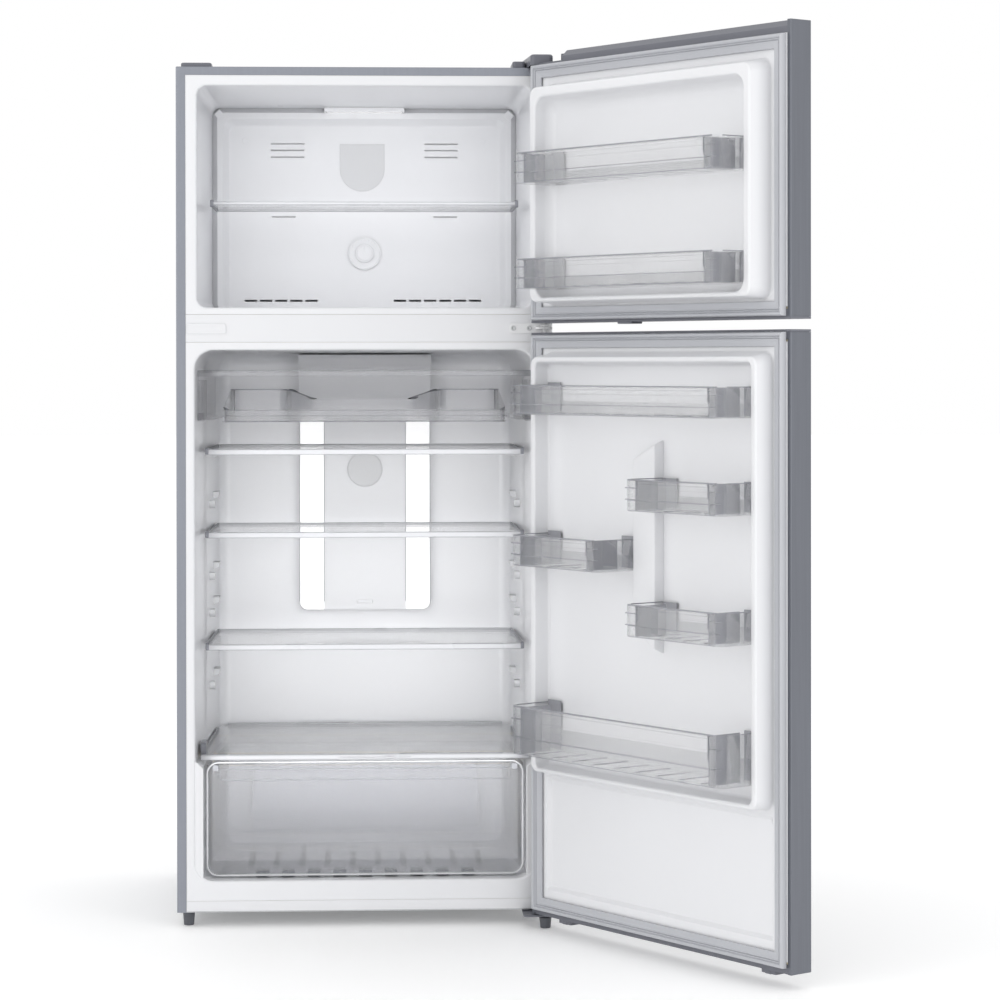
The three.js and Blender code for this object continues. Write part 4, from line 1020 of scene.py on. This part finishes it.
def in_notch(centre, skin_back):
    """Whether a face of the freezer door lies in the notch for the hinge."""
    if centre.z <= NOTCH["z"]:
        return False
    return centre.x > NOTCH["corner"] or (centre.x > NOTCH["x"] and centre.y > skin_back)


def build_door_sheet(name, node, body):
    low, high = span(node, LEAF)
    bm = bmesh.new()
    block(bm, (low.x, high.x), (low.y, high.y), (low.z, high.z))
    shut_ends = [f for f in bm.faces if abs(f.normal.z) > 0.9]
    bmesh.ops.delete(bm, geom=shut_ends, context="FACES")
    inner = window(bm, Y, high.y, (low.x + RETURN, high.x - RETURN), (low.z - 1, high.z + 1))
    bmesh.ops.delete(bm, geom=inner, context="FACES")
    front_edges = [e for e in sharp(bm) if max(v.co.y for v in e.verts) < low.y + 1]
    round_off(bm, front_edges, size("door_edge"), 8)
    back_edges = [e for e in sharp(bm) if min(v.co.y for v in e.verts) > high.y - 1]
    round_off(bm, back_edges, 1.6, 3)
    if node == "freezer_door_panel":
        for axis, at in ((Z, NOTCH["z"]), (X, NOTCH["corner"]), (X, NOTCH["x"])):
            point, normal = Vector((0, 0, 0)), Vector((0, 0, 0))
            point[axis], normal[axis] = at, 1
            slice_faces(bm, bm.faces[:], point, normal)
        gone = [f for f in bm.faces if in_notch(f.calc_center_median(), low.y + 6)]
        bmesh.ops.delete(bm, geom=gone, context="FACES")
    # The door sheets take the darkened steel, which paints shade on them.
    make(bm, name, "shaded_door_steel", body, [node], place=LEAF, wall=size("sheet_thickness"))


def build_door_liner(name, node, body, dyke):
    low, high = span(node, LEAF)
    y = INNER_FACE
    z0, z1 = dyke["z"]
    reach = y + dyke["reach"]
    bm = bmesh.new()
    skin(bm, [
        (y, (low.x, high.x), (low.z + 4, high.z - 4), 1.0),
        (y, (-dyke["outer"], dyke["outer"]), (z0, z1), dyke["ring"]),
        (reach, (-dyke["tip"], dyke["tip"]), (z0 + 4, z1 - 9), dyke["ring"] - 4),
        (reach, (-dyke["top"], dyke["top"]), (z0 + 12, z1 - dyke["lip"]), dyke["curve"] + 2),
        (y + PAN_RISE, (-dyke["root"], dyke["root"]), (z0 + 17, z1 - dyke["drop"]), dyke["curve"]),
    ], towards=BACK)
    round_off(bm, at_depth(bm, y + PAN_RISE), dyke["fillet"], 8)
    round_off(bm, at_depth(bm, reach), 6, 5)
    round_off(bm, at_depth(bm, y), 4, 3)
    if dyke is FRIDGE_DYKE:
        field = window(bm, Y, y, (-SUNK_FIELD["half"], SUNK_FIELD["half"]), SUNK_FIELD["z"])
        bmesh.ops.inset_region(bm, faces=field, thickness=7, depth=-6, use_even_offset=True)
        sunk_rim = {e for f in field for e in f.edges if e.calc_face_angle(0) > 0.3}
        round_off(bm, list(sunk_rim), 3, 3)
    make(bm, name, "white", body, [node], place=LEAF, wall=size("liner_wall"))


def build_centre_rib():
    """The raised rib between the short bins."""
    bm = bmesh.new()
    corners = [bm.verts.new((x, INNER_FACE + PAN_RISE - 1, z)) for x, z in RIB_FOOT]
    corners += [bm.verts.new((x, INNER_FACE + 30, z)) for x, z in RIB_CREST]
    bmesh.ops.convex_hull(bm, input=corners)
    round_off(bm, sharp(bm, 20), 2.5, 4)
    make(bm, "door_centre_rib", "white", "fridge_door", place=LEAF)


# The seal's section from its inner edge outwards: (out, rise) from the door's inner face.
GASKET_PROFILE = (
    (0, 3.0), (0.8, 5.3), (10, 5.6), (13, 7.4), (14, 7.6), (14.6, 5.8), (15.4, 5.9), (16, 8.5), (17.5, 9.6),
    (18.2, 8.2), (19, 8.3), (19.6, 10.8), (21.2, 12.6), (24.2, 12.9), (26, 11), (26.6, 6), (27, 0.4),
)


def build_gasket(name, node, body):
    low, high = span(node, LEAF)
    wide = GASKET_PROFILE[-1][0]
    bm = bmesh.new()
    rings = []
    for out, rise in GASKET_PROFILE:
        inset = wide - out
        across, upright = (low.x + inset, high.x - inset), (low.z + inset, high.z - inset)
        rings.append((INNER_FACE + rise, across, upright, 0.4, 1))
    skin(bm, rings, towards=BACK, cap=False)
    make(bm, name, "seal", body, [node], place=LEAF, wall=0.7)


def build_freezer_top_trim():
    low, high = span("freezer_door_top_cap", LEAF)
    deck = high.z
    bm = bmesh.new()
    verts = block(bm, (low.x, NOTCH["x"]), (low.y, high.y), (low.z + 4, deck))
    inner_top = [e for e in along(verts, X) if min(v.co.z for v in e.verts) > deck - 1
                 and min(v.co.y for v in e.verts) > high.y - 1]
    bmesh.ops.bevel(bm, geom=inner_top, offset=12, offset_type="OFFSET", segments=1, profile=0.5,
                    affect="EDGES", material=-1)
    front = [e for e in bm.edges if abs((e.verts[0].co - e.verts[1].co).normalized().z) > 0.9
             and max(v.co.y for v in e.verts) < low.y + 1 and e.verts[0].co.x < 0]
    round_off(bm, front, 8, 5)
    trough = window(bm, Z, deck, (low.x + 8, low.x + 46), (low.y + 6, high.y - 14))
    if trough:
        bmesh.ops.inset_region(bm, faces=trough, thickness=2, depth=-9, use_even_offset=True)
    block(bm, (NOTCH["x"], high.x), (low.y + 1, high.y), (low.z + 4, NOTCH["z"] - 1))
    block(bm, (NOTCH["x"] - 1, NOTCH["corner"] - 1), (low.y, low.y + 4.5), (NOTCH["z"] - 4, deck))
    make(bm, "freezer_door_top_trim", "trim", "freezer_door", ["freezer_door_top_cap"], place=LEAF, edge=0.8)


def build_facing_trims():
    """The two trims that face each other between the doors."""
    for name, node, body, at_bottom in (
            ("freezer_door_bottom_trim", "freezer_door_bottom_cap", "freezer_door", True),
            ("fridge_door_top_trim", "fridge_door_top_cap", "fridge_door", False)):
        low, high = span(node, LEAF)
        bm = bmesh.new()
        edge_z = (1219.4, 1224.0) if at_bottom else (high.z - 4.6, high.z)
        verts = block(bm, (low.x, high.x), (low.y, min(high.y, INNER_FACE)), edge_z)
        corners = [e for e in along(verts, Z) if e.verts[0].co.y < low.y + 1]
        round_off(bm, corners, size("door_edge"), 8)
        core_z = (edge_z[1], high.z) if at_bottom else (low.z, edge_z[0])
        block(bm, (low.x + 1.4, high.x - 1.4), (low.y + 4, INNER_FACE - 0.4), core_z)
        if at_bottom:
            bar(bm, (70, 112), (INNER_FACE - 30, INNER_FACE - 2), (low.z, edge_z[0] + 1), 3, Y, 4)
        make(bm, name, "trim", body, [node], place=LEAF, edge=0.8)


def build_fridge_bottom_trim():
    low, high = span("fridge_door_bottom_cap", LEAF)
    bm = bmesh.new()
    verts = block(bm, (low.x, high.x), (low.y, high.y), (28.7, high.z))
    corners = [e for e in along(verts, Z) if e.verts[0].co.y < low.y + 1]
    round_off(bm, corners, size("door_edge") - 1, 8)
    for x in (262, -332):
        bar(bm, (x, x + 40), (INNER_FACE - 34, INNER_FACE - 6), (low.z, 34), 4, Z, 5)
        bar(bm, (x + 12, x + 28), (INNER_FACE - 30, INNER_FACE - 5), (low.z - 0.5, 32), 2, Z, 3)
    make(bm, "fridge_door_bottom_trim", "trim", "fridge_door", ["fridge_door_bottom_cap"], place=LEAF, edge=0.8)


# ---------------------------------------------------------------- door bins
END_CAP = 34


def build_bin(node):
    low, high = span(node, LEAF)
    tall = high.z - low.z
    wall = size("bin_wall")
    bm = bmesh.new()
    verts = block(bm, (low.x, high.x), (low.y, high.y), (low.z, high.z))
    bmesh.ops.delete(bm, geom=[f for f in bm.faces if f.normal.z > 0.9], context="FACES")
    corners = [e for e in along(verts, Z) if e.verts[0].co.y > high.y - 1]
    round_off(bm, corners, 18, 7)
    gap = window(bm, Y, low.y, (low.x + 44, high.x - 44), (low.z + tall * 0.45, high.z))
    bmesh.ops.delete(bm, geom=gap, context="FACES")
    band = window(bm, Y, high.y, (low.x + END_CAP, high.x - END_CAP), (low.z + tall * 0.36, high.z - 3))
    bmesh.ops.inset_region(bm, faces=band, thickness=1.0, depth=-1.4, use_even_offset=True)
    across = (low.x + END_CAP + 3, high.x - END_CAP - 3)
    upper = window(bm, Y, high.y - 1.4, across, (high.z - tall * 0.3, high.z - 7))
    if upper:
        bmesh.ops.inset_region(bm, faces=upper, thickness=0.8, depth=1.2, use_even_offset=True)
    base = [e for e in sharp(bm, 60) if max(v.co.z for v in e.verts) < low.z + 0.5]
    round_off(bm, base, 3, 3)
    make(bm, node + "_basket", "clear", node, [node], place=LEAF, wall=wall)


def build_bin_inserts(node):
    """End partitions, floor ribs, the top rail and the fine lines of a door bin."""
    low, high = span(node, LEAF)
    tall = high.z - low.z
    wall = size("bin_wall")
    bm = bmesh.new()
    for side, x in ((1, low.x + END_CAP), (-1, high.x - END_CAP)):
        bar(bm, (x - 1, x + 1), (low.y + 24, high.y - 2.6), (low.z + 2, high.z - 2), 0.8, Y, 2)
        outer = x - side * (END_CAP - wall - 0.4)
        for level in (0.36, 0.72):
            z = low.z + tall * level
            bar(bm, sorted((outer, x - side)), (high.y - 6.5, high.y - 2.6), (z, z + 1.6), 0.6, X, 2)
        upright = sorted((x + side * 2, x + side * 5))
        bar(bm, upright, (high.y - 7, high.y - 2.4), (low.z + tall * 0.5, high.z - 1), 1, Z, 2)
        tab = sorted((outer, outer + side * 40))
        bar(bm, tab, (low.y + 3, low.y + 5), (low.z + 4, high.z + 5 if x > 0 else high.z), 0.9, X, 2)
    count = max(3, round((high.x - low.x) / 60))
    for i in range(1, count):
        x = low.x + (high.x - low.x) * i / count
        bar(bm, (x - 1, x + 1), (low.y + 6, high.y - 10), (low.z + wall, low.z + wall + 2), 0.7, Y, 2)
    bar(bm, (low.x + 14, high.x - 14), (high.y - 4.4, high.y + 0.2), (high.z - 2.2, high.z + 0.6), 1, X, 3)
    for z in (low.z + 0.8, low.z + tall * 0.34):
        bar(bm, (low.x + 16, high.x - 16), (high.y - 0.6, high.y + 0.5), (z, z + 1.2), 0.4, X, 2)
    for x in (low.x + 1, high.x - 2):
        bar(bm, (x, x + 1), (low.y + 4, high.y - 18), (high.z - 1.6, high.z + 0.4), 0.4, Y, 2)
    make(bm, node + "_inserts", "line", node, place=LEAF)


# ---------------------------------------------------------------- hinges, caps and feet
HOOD_STEP_Z = 1751


def build_hinge_hood():
    low, high = span("top_hinge_cover")
    bm = bmesh.new()
    verts = block(bm, (322, high.x), (low.y, high.y), (low.z, high.z))
    for v in verts:
        if v.co.y < low.y + 1 and v.co.x < 330:
            v.co.x += 12
    round_off(bm, along(verts, Z), 9, 6)
    round_off(bm, [e for e in sharp(bm) if min(v.co.z for v in e.verts) > high.z - 1], 5, 5)
    side = block(bm, (300, 326), (4, high.y), (low.z, HOOD_STEP_Z))
    round_off(bm, along(side, Z), 7, 5)
    round_off(bm, [e for e in sharp(bm) if all(abs(v.co.z - HOOD_STEP_Z) < 0.5 for v in e.verts)], 3, 4)
    hollow = [f for f in bm.faces if f.normal.z < -0.9]
    bmesh.ops.delete(bm, geom=hollow, context="FACES")
    make(bm, "hinge_hood", "trim", "cabinet", ["top_hinge_cover"], wall=2)


def build_top_blank():
    low, high = span("top_cap_left")
    bm = bmesh.new()
    verts = block(bm, (low.x, high.x), (low.y, high.y), (low.z, high.z))
    round_off(bm, along(verts, Z), 8, 6)
    round_off(bm, [e for e in sharp(bm) if min(v.co.z for v in e.verts) > high.z - 1], 3, 4)
    make(bm, "top_blank_left", "trim", "cabinet", ["top_cap_left"])


def build_middle_hinge():
    low, high = span("middle_hinge")
    bm = bmesh.new()
    leg = block(bm, (low.x, high.x), (-2.8, 0), (1199.5, 1220.5))
    round_off(bm, along(leg, Y), 5, 5)
    bar(bm, (344, high.x - 1), (low.y, 0), (1207.6, 1211.8), 9, Z, 6)
    rod(bm, (PIN.x, PIN.y, (low.z + high.z) / 2), 5, high.z - low.z, Z, 32)
    rod(bm, (PIN.x, PIN.y, 1215), 9, 5, Z, 32)
    make(bm, "middle_hinge_bracket", "bracket", "cabinet", ["middle_hinge"], edge=0.8)
    bm = bmesh.new()
    for x in (301, 333):
        head = rod(bm, (x, -3.6, 1210), 5.2, 2.4, Y, 32, tip=5.2)
        front = min({f for v in head for f in v.link_faces}, key=lambda f: f.calc_center_median().y)
        bmesh.ops.inset_region(bm, faces=[front], thickness=2.6, depth=0)
        bmesh.ops.inset_region(bm, faces=[front], thickness=0.4, depth=-1.2)
    make(bm, "hinge_screws", "zinc", "cabinet", edge=0.5)


def build_hinge_plates():
    """The top and lower hinge plates with their pins."""
    for name, node, look in (
            ("top_hinge_plate", "top_hinge", "zinc"), ("lower_hinge_plate", "lower_hinge", "trim")):
        low, high = span(node)
        bm = bmesh.new()
        if node == "top_hinge":
            bar(bm, (low.x, high.x), (low.y, high.y), (1744.5, 1748), 7, Z, 5)
            block(bm, (low.x, high.x), (8, high.y), (1738.3, 1745))
            rod(bm, (PIN.x, PIN.y, 1737), 5, 16, Z, 32)
        else:
            bar(bm, (low.x, high.x), (low.y, high.y), (23.6, 27.2), 8, Z, 5)
            block(bm, (low.x + 1, high.x), (8, high.y - 1), (27, 29.7))
            rod(bm, (PIN.x, PIN.y, 35.5), 5, 17, Z, 32)
        make(bm, name, look, "cabinet", [node], edge=0.6)


def build_foot(name, node):
    low, high = span(node)
    x, y = (low.x + high.x) / 2, (low.y + high.y) / 2
    radius = (high.x - low.x) / 2
    bm = bmesh.new()
    crown = 27 if node == "foot_left" else 21
    rod(bm, (x, y, crown / 2), radius - 2.4, crown, Z, 48, tip=radius - 0.4)
    if high.z > crown + 1:
        rod(bm, (x, y, (crown + high.z) / 2), 5, high.z - crown, Z, 24)
    make(bm, name, "foot", node, [node], edge=0.7)


def build_roller(name, node):
    low, high = span(node)
    centre = (low + high) / 2
    bm = bmesh.new()
    rod(bm, centre, (high.z - low.z) / 2, high.x - low.x, X, 64)
    for end in [f for f in bm.faces if abs(f.normal.x) > 0.9]:
        bmesh.ops.inset_region(bm, faces=[end], thickness=3, depth=0)
        bmesh.ops.inset_region(bm, faces=[end], thickness=1, depth=-2)
        bmesh.ops.inset_region(bm, faces=[end], thickness=5.5, depth=0)
    make(bm, name, "black", node, [node], edge=0.8)


# ---------------------------------------------------------------- back and machinery
def build_back():
    low, high = span("back_panel")
    bm = bmesh.new()
    block(bm, (low.x, high.x), (low.y, high.y), (low.z, high.z))
    bmesh.ops.delete(bm, geom=[f for f in bm.faces if f.normal.y < 0.9], context="FACES")
    panels = 5
    pitch = (high.x - low.x - 80) / panels
    for i in range(panels):
        x = low.x + 40 + pitch * i
        emboss(bm, Y, high.y, (x + 12, x + pitch - 12), (low.z + 60, high.z - 60), 8, 1.6)
    make(bm, "back_sheet", "zinc", "cabinet", ["back_panel"], wall=0.8)
    bm = bmesh.new()
    for side in (-1, 1):
        for i in range(7):
            z = low.z + 20 + i * (high.z - low.z - 40) / 6
            rod(bm, (side * (high.x - 12), high.y + 1, z), 4.5, 2.2, Y, 20)
    make(bm, "back_screws", "zinc", "cabinet", edge=0.6)


def build_machine_room_cover():
    low, high = span("compressor_cover")
    bm = bmesh.new()
    block(bm, (low.x, high.x), (low.y, high.y), (low.z, high.z))
    bmesh.ops.delete(bm, geom=[f for f in bm.faces if f.normal.y < 0.9], context="FACES")
    for side in (-1, 1):
        for row in range(6):
            z = 80 + row * 26
            pierce(bm, Y, high.y, sorted((side * 300, side * 40)), (z, z + 9), 2.5, 1.6)
    make(bm, "machine_room_cover", "black", "cabinet", ["compressor_cover"], wall=1.2)


def build_compressor():
    low, high = span("compressor")
    x, y = low.x + 95, (low.y + high.y) / 2
    base = 48
    bm = bmesh.new()
    profile = [
        (0, base), (66, base), (76, base + 18), (79, base + 60),
        (76, base + 104), (58, base + 130), (0, base + 140),
    ]
    points = [bm.verts.new((x + r, y, z)) for r, z in profile]
    edges = [bm.edges.new(pair) for pair in zip(points, points[1:])]
    bmesh.ops.spin(bm, geom=points + edges, cent=(x, y, 0), axis=(0, 0, 1), angle=math.tau, steps=48,
                   use_merge=True, use_duplicate=False)
    bmesh.ops.remove_doubles(bm, verts=bm.verts, dist=0.01)
    bmesh.ops.recalc_face_normals(bm, faces=bm.faces)
    bar(bm, (x - 95, x + 95), (y - 60, y + 60), (base - 4, base + 2), 12, Z, 5)
    bar(bm, (x + 70, x + 104), (y - 30, y + 30), (base + 40, base + 95), 5, Z, 4)
    for a in (-1, 1):
        for b in (-1, 1):
            rod(bm, (x + a * 80, y + b * 45, 38), 11, 12, Z, 24)
    rod(bm, (x + 30, y + 20, base + 142), 4, 36, Z, 20)
    make(bm, "compressor_can", "enamel", "cabinet", ["compressor"], edge=1.2)


KEPT = {
    "cabinet_foam": "foam", "condenser_tube": "copper", "base_pan": "zinc", "drip_pan": "black",
    "evaporator": "alloy", "fan_motor": "black", "fan_blade": "panel_white", "freezer_door_foam": "foam",
    "fridge_door_foam": "foam",
}


def dress_kept_nodes():
    for node, look in KEPT.items():
        mesh = frame["nodes"][node].data
        mesh.materials.clear()
        mesh.materials.append(FINISH[look])


# ---------------------------------------------------------------- stage
LENS_MM = 104.8
CAMERA_PLACE = (0.0, -5894.0, 1141.0)   # in the cabinet's datum, millimetres
CAMERA_TURN = (89.625, 0.064, -2.66)    # degrees
CAMERA_SHIFT = -0.1187


def lay_floor(scene):
    bm = bmesh.new()
    bmesh.ops.create_circle(bm, cap_ends=True, radius=40, segments=96)
    mesh = bpy.data.meshes.new("floor")
    bm.to_mesh(mesh)
    bm.free()
    pale = moulded("Pale floor", (0.93, 0.93, 0.93), (0.92, 0.92, 0.92), 0.7, patch=2.0)
    shine = pale.node_tree.nodes["Principled BSDF"].inputs
    shine["Emission Color"].default_value = (1, 1, 1, 1)
    shine["Emission Strength"].default_value = 0.14
    mesh.materials.append(pale)
    floor = bpy.data.objects.new("floor", mesh)
    scene.collection.objects.link(floor)
    floor.location.z = -0.0005


def light_surround(scene, strength):
    world = bpy.data.worlds.new("Studio")
    scene.world = world
    world.use_nodes = True
    world.node_tree.nodes["Background"].inputs["Color"].default_value = (1, 1, 1, 1)
    world.node_tree.nodes["Background"].inputs["Strength"].default_value = strength


def area_light(scene, name, shape, size_m, power):
    """An area light at the origin; returns its data and its object."""
    light = bpy.data.lights.new(name, "AREA")
    light.shape = shape
    light.size = size_m
    light.energy = power
    lamp = bpy.data.objects.new(name, light)
    scene.collection.objects.link(lamp)
    return light, lamp


def place_softboxes(scene, power):
    for name, spot, aim, wide, share in (
            ("Left softbox", (-3.1, -2.5, 1.9), (0.0, -0.1, 0.95), 2.0, 1.0),
            ("Right softbox", (2.5, -3.0, 1.5), (-0.2, 0.1, 0.95), 2.0, 1.0),
            ("Rear softbox", (0.6, 3.6, 2.4), (-0.2, 0.4, 0.9), 2.4, 0.5)):
        lamp = area_light(scene, name, "SQUARE", wide, power * share)[1]
        lamp.location = spot
        lamp.rotation_euler = (Vector(aim) - Vector(spot)).to_track_quat("-Z", "Y").to_euler()


def place_fills(scene, power):
    """Soft light that enters each compartment at its mouth."""
    for name, mouth, share in (("Freezer fill", FREEZER_MOUTH, 1.0), ("Fridge fill", FRIDGE_MOUTH, 2.75)):
        bottom, top = mouth["z"]
        wide = 2 * (mouth["half"] - 30) * MM
        light, lamp = area_light(scene, name, "RECTANGLE", wide, power * share)
        light.size_y = (top - bottom - 60) * MM
        light.spread = math.radians(95)
        lamp.location = CABINET @ Vector((0, -2, (bottom + top) / 2))
        lamp.rotation_euler = (math.radians(90), 0, 0)


def place_camera(scene):
    camera = bpy.data.cameras.new("Camera")
    camera.lens = LENS_MM
    camera.shift_y = CAMERA_SHIFT
    eye = bpy.data.objects.new("Camera", camera)
    eye.location = CABINET @ Vector(CAMERA_PLACE)
    eye.rotation_euler = [math.radians(a) for a in CAMERA_TURN]
    scene.collection.objects.link(eye)
    scene.camera = eye


def build_stage():
    scene = bpy.context.scene
    scene.view_settings.view_transform = "Standard"
    look = scene.fridge_look
    lay_floor(scene)
    light_surround(scene, look.sky_power)
    place_softboxes(scene, look.key_power)
    place_fills(scene, look.cavity_power)
    place_camera(scene)


# ---------------------------------------------------------------- add-on
class FridgeLook(bpy.types.PropertyGroup):
    """Colours, sizes and light levels that a user would change."""

    steel_colour: FloatVectorProperty(
        name="Steel colour", description="Colour of the outer steel sheet", subtype="COLOR",
        default=(0.29, 0.305, 0.345), min=0, max=1)
    liner_colour: FloatVectorProperty(
        name="Liner colour", description="Colour of the white plastic inside", subtype="COLOR",
        default=(0.79, 0.795, 0.815), min=0, max=1)
    trim_colour: FloatVectorProperty(
        name="Trim colour", description="Colour of the grey door and hinge caps", subtype="COLOR",
        default=(0.14, 0.145, 0.17), min=0, max=1)
    sheet_thickness: FloatProperty(
        name="Steel sheet", description="Thickness of the casing and door sheets", unit="LENGTH",
        default=0.001, min=0)
    liner_wall: FloatProperty(
        name="Liner wall", description="Thickness of the white liners", unit="LENGTH", default=0.0016, min=0)
    glass_thickness: FloatProperty(
        name="Shelf glass", description="Thickness of the glass shelves", unit="LENGTH", default=0.004, min=0)
    bin_wall: FloatProperty(
        name="Bin wall", description="Thickness of the clear door bins", unit="LENGTH", default=0.0022, min=0)
    door_edge: FloatProperty(
        name="Door edge", description="Radius of the doors' front edges", unit="LENGTH", default=0.003, min=0.001)
    strip_power: FloatProperty(
        name="Light strips", description="Emission strength of the light strips", default=0.35, min=0)
    key_power: FloatProperty(
        name="Softboxes", description="Power of the largest softbox", unit="POWER", default=18, min=0)
    cavity_power: FloatProperty(
        name="Fill into the cabinet", description="Power of the soft light that falls into the open compartments",
        unit="POWER", default=0.6, min=0)
    sky_power: FloatProperty(
        name="Surround", description="Strength of the even white surround", default=1.0, min=0)


def operator(name, label, doc, work):
    def execute(self, context):
        work()
        return {"FINISHED"}

    return type("FRIDGE_OT_" + name, (bpy.types.Operator,), {
        "bl_idname": "fridge." + name, "bl_label": label, "__doc__": doc, "execute": execute})


def mix_finishes():
    FINISH.update(finishes())


def build_interior():
    for node, tall in (("freezer_shelf", 7), ("glass_shelf_1", 12), ("glass_shelf_2", 12), ("glass_shelf_3", 12)):
        build_shelf(node, tall)


def build_doors():
    build_door_sheet("freezer_door_skin", "freezer_door_panel", "freezer_door")
    build_door_sheet("fridge_door_skin", "fridge_door_panel", "fridge_door")
    build_door_liner("freezer_door_pan", "freezer_door_liner", "freezer_door", FREEZER_DYKE)
    build_door_liner("fridge_door_pan", "fridge_door_liner", "fridge_door", FRIDGE_DYKE)
    build_centre_rib()
    build_gasket("freezer_door_seal", "freezer_door_gasket", "freezer_door")
    build_gasket("fridge_door_seal", "fridge_door_gasket", "fridge_door")
    build_freezer_top_trim()
    build_facing_trims()
    build_fridge_bottom_trim()


def build_bins():
    for node in ("freezer_bin_upper", "freezer_bin_lower", *(f"fridge_bin_{i}" for i in range(1, 6))):
        build_bin(node)
        build_bin_inserts(node)


def build_liners():
    build_freezer_liner()
    build_fridge_liner()
    build_liner_ledges()
    build_front_strips()


def build_freezer_fittings():
    build_evaporator_cover()
    build_vent_louvres()
    build_cover_shield()
    build_cover_clips()
    build_freezer_lamp()
    build_dial()


def build_duct():
    build_air_duct()
    build_round_plate()
    build_light_strips()


def build_chiller():
    build_chiller_lid()
    build_chiller_rails()
    build_chiller_tray()
    build_tray_ribs()


def build_crisper():
    build_crisper_cover()
    build_humidity_knob()
    build_drawer_box()
    build_drawer_rim()
    build_drawer_mouldings()
    build_drawer_outline()
    build_drawer_pads()
    build_drawer_lines()
    build_drawer_cheeks()


def build_supports():
    build_hinge_hood()
    build_top_blank()
    build_middle_hinge()
    build_hinge_plates()
    build_foot("levelling_foot_left", "foot_left")
    build_foot("levelling_foot_right", "foot_right")
    build_roller("rear_roller_left", "roller_left")
    build_roller("rear_roller_right", "roller_right")


def build_machinery():
    build_back()
    build_machine_room_cover()
    build_compressor()
    dress_kept_nodes()


STEPS = (
    ("stage", "Stage", "Floor, lights and camera", build_stage),
    ("finishes", "Finishes", "Mixes the materials", mix_finishes),
    ("casing", "Casing", "The outer steel sheet", build_casing),
    ("liners", "Liners", "The two white tubs and the strips between them", build_liners),
    ("freezer", "Freezer fittings", "Back cover, lamp and dial", build_freezer_fittings),
    ("shelves", "Shelves", "The freezer shelf and the glass shelves", build_interior),
    ("duct", "Air duct", "Air duct cover and its light strips", build_duct),
    ("chiller", "Chiller", "Chiller lid, rails and tray", build_chiller),
    ("crisper", "Crisper", "Crisper cover, slider and drawer", build_crisper),
    ("doors", "Doors", "Door skins, pans, seals and caps", build_doors),
    ("bins", "Door bins", "The seven clear bins", build_bins),
    ("supports", "Hinges and feet", "Hinges, caps, feet and rollers", build_supports),
    ("machinery", "Back and machinery", "Back sheet, compressor and the kept nodes", build_machinery),
)
OPERATORS = [operator(*step) for step in STEPS]


class FRIDGE_PT_panel(bpy.types.Panel):
    bl_label = "Refrigerator"
    bl_space_type = "VIEW_3D"
    bl_region_type = "UI"
    bl_category = "Refrigerator"

    def draw(self, context):
        for prop in FridgeLook.__annotations__:
            self.layout.prop(context.scene.fridge_look, prop)
        for made in OPERATORS:
            self.layout.operator(made.bl_idname)


def register():
    for made in (FridgeLook, *OPERATORS, FRIDGE_PT_panel):
        bpy.utils.register_class(made)
    bpy.types.Scene.fridge_look = PointerProperty(type=FridgeLook)


def unregister():
    del bpy.types.Scene.fridge_look
    for made in reversed((FridgeLook, *OPERATORS, FRIDGE_PT_panel)):
        bpy.utils.unregister_class(made)


def main():
    register()
    for name, *_ in STEPS:
        getattr(bpy.ops.fridge, name)()


if __name__ == "__main__":
    main()
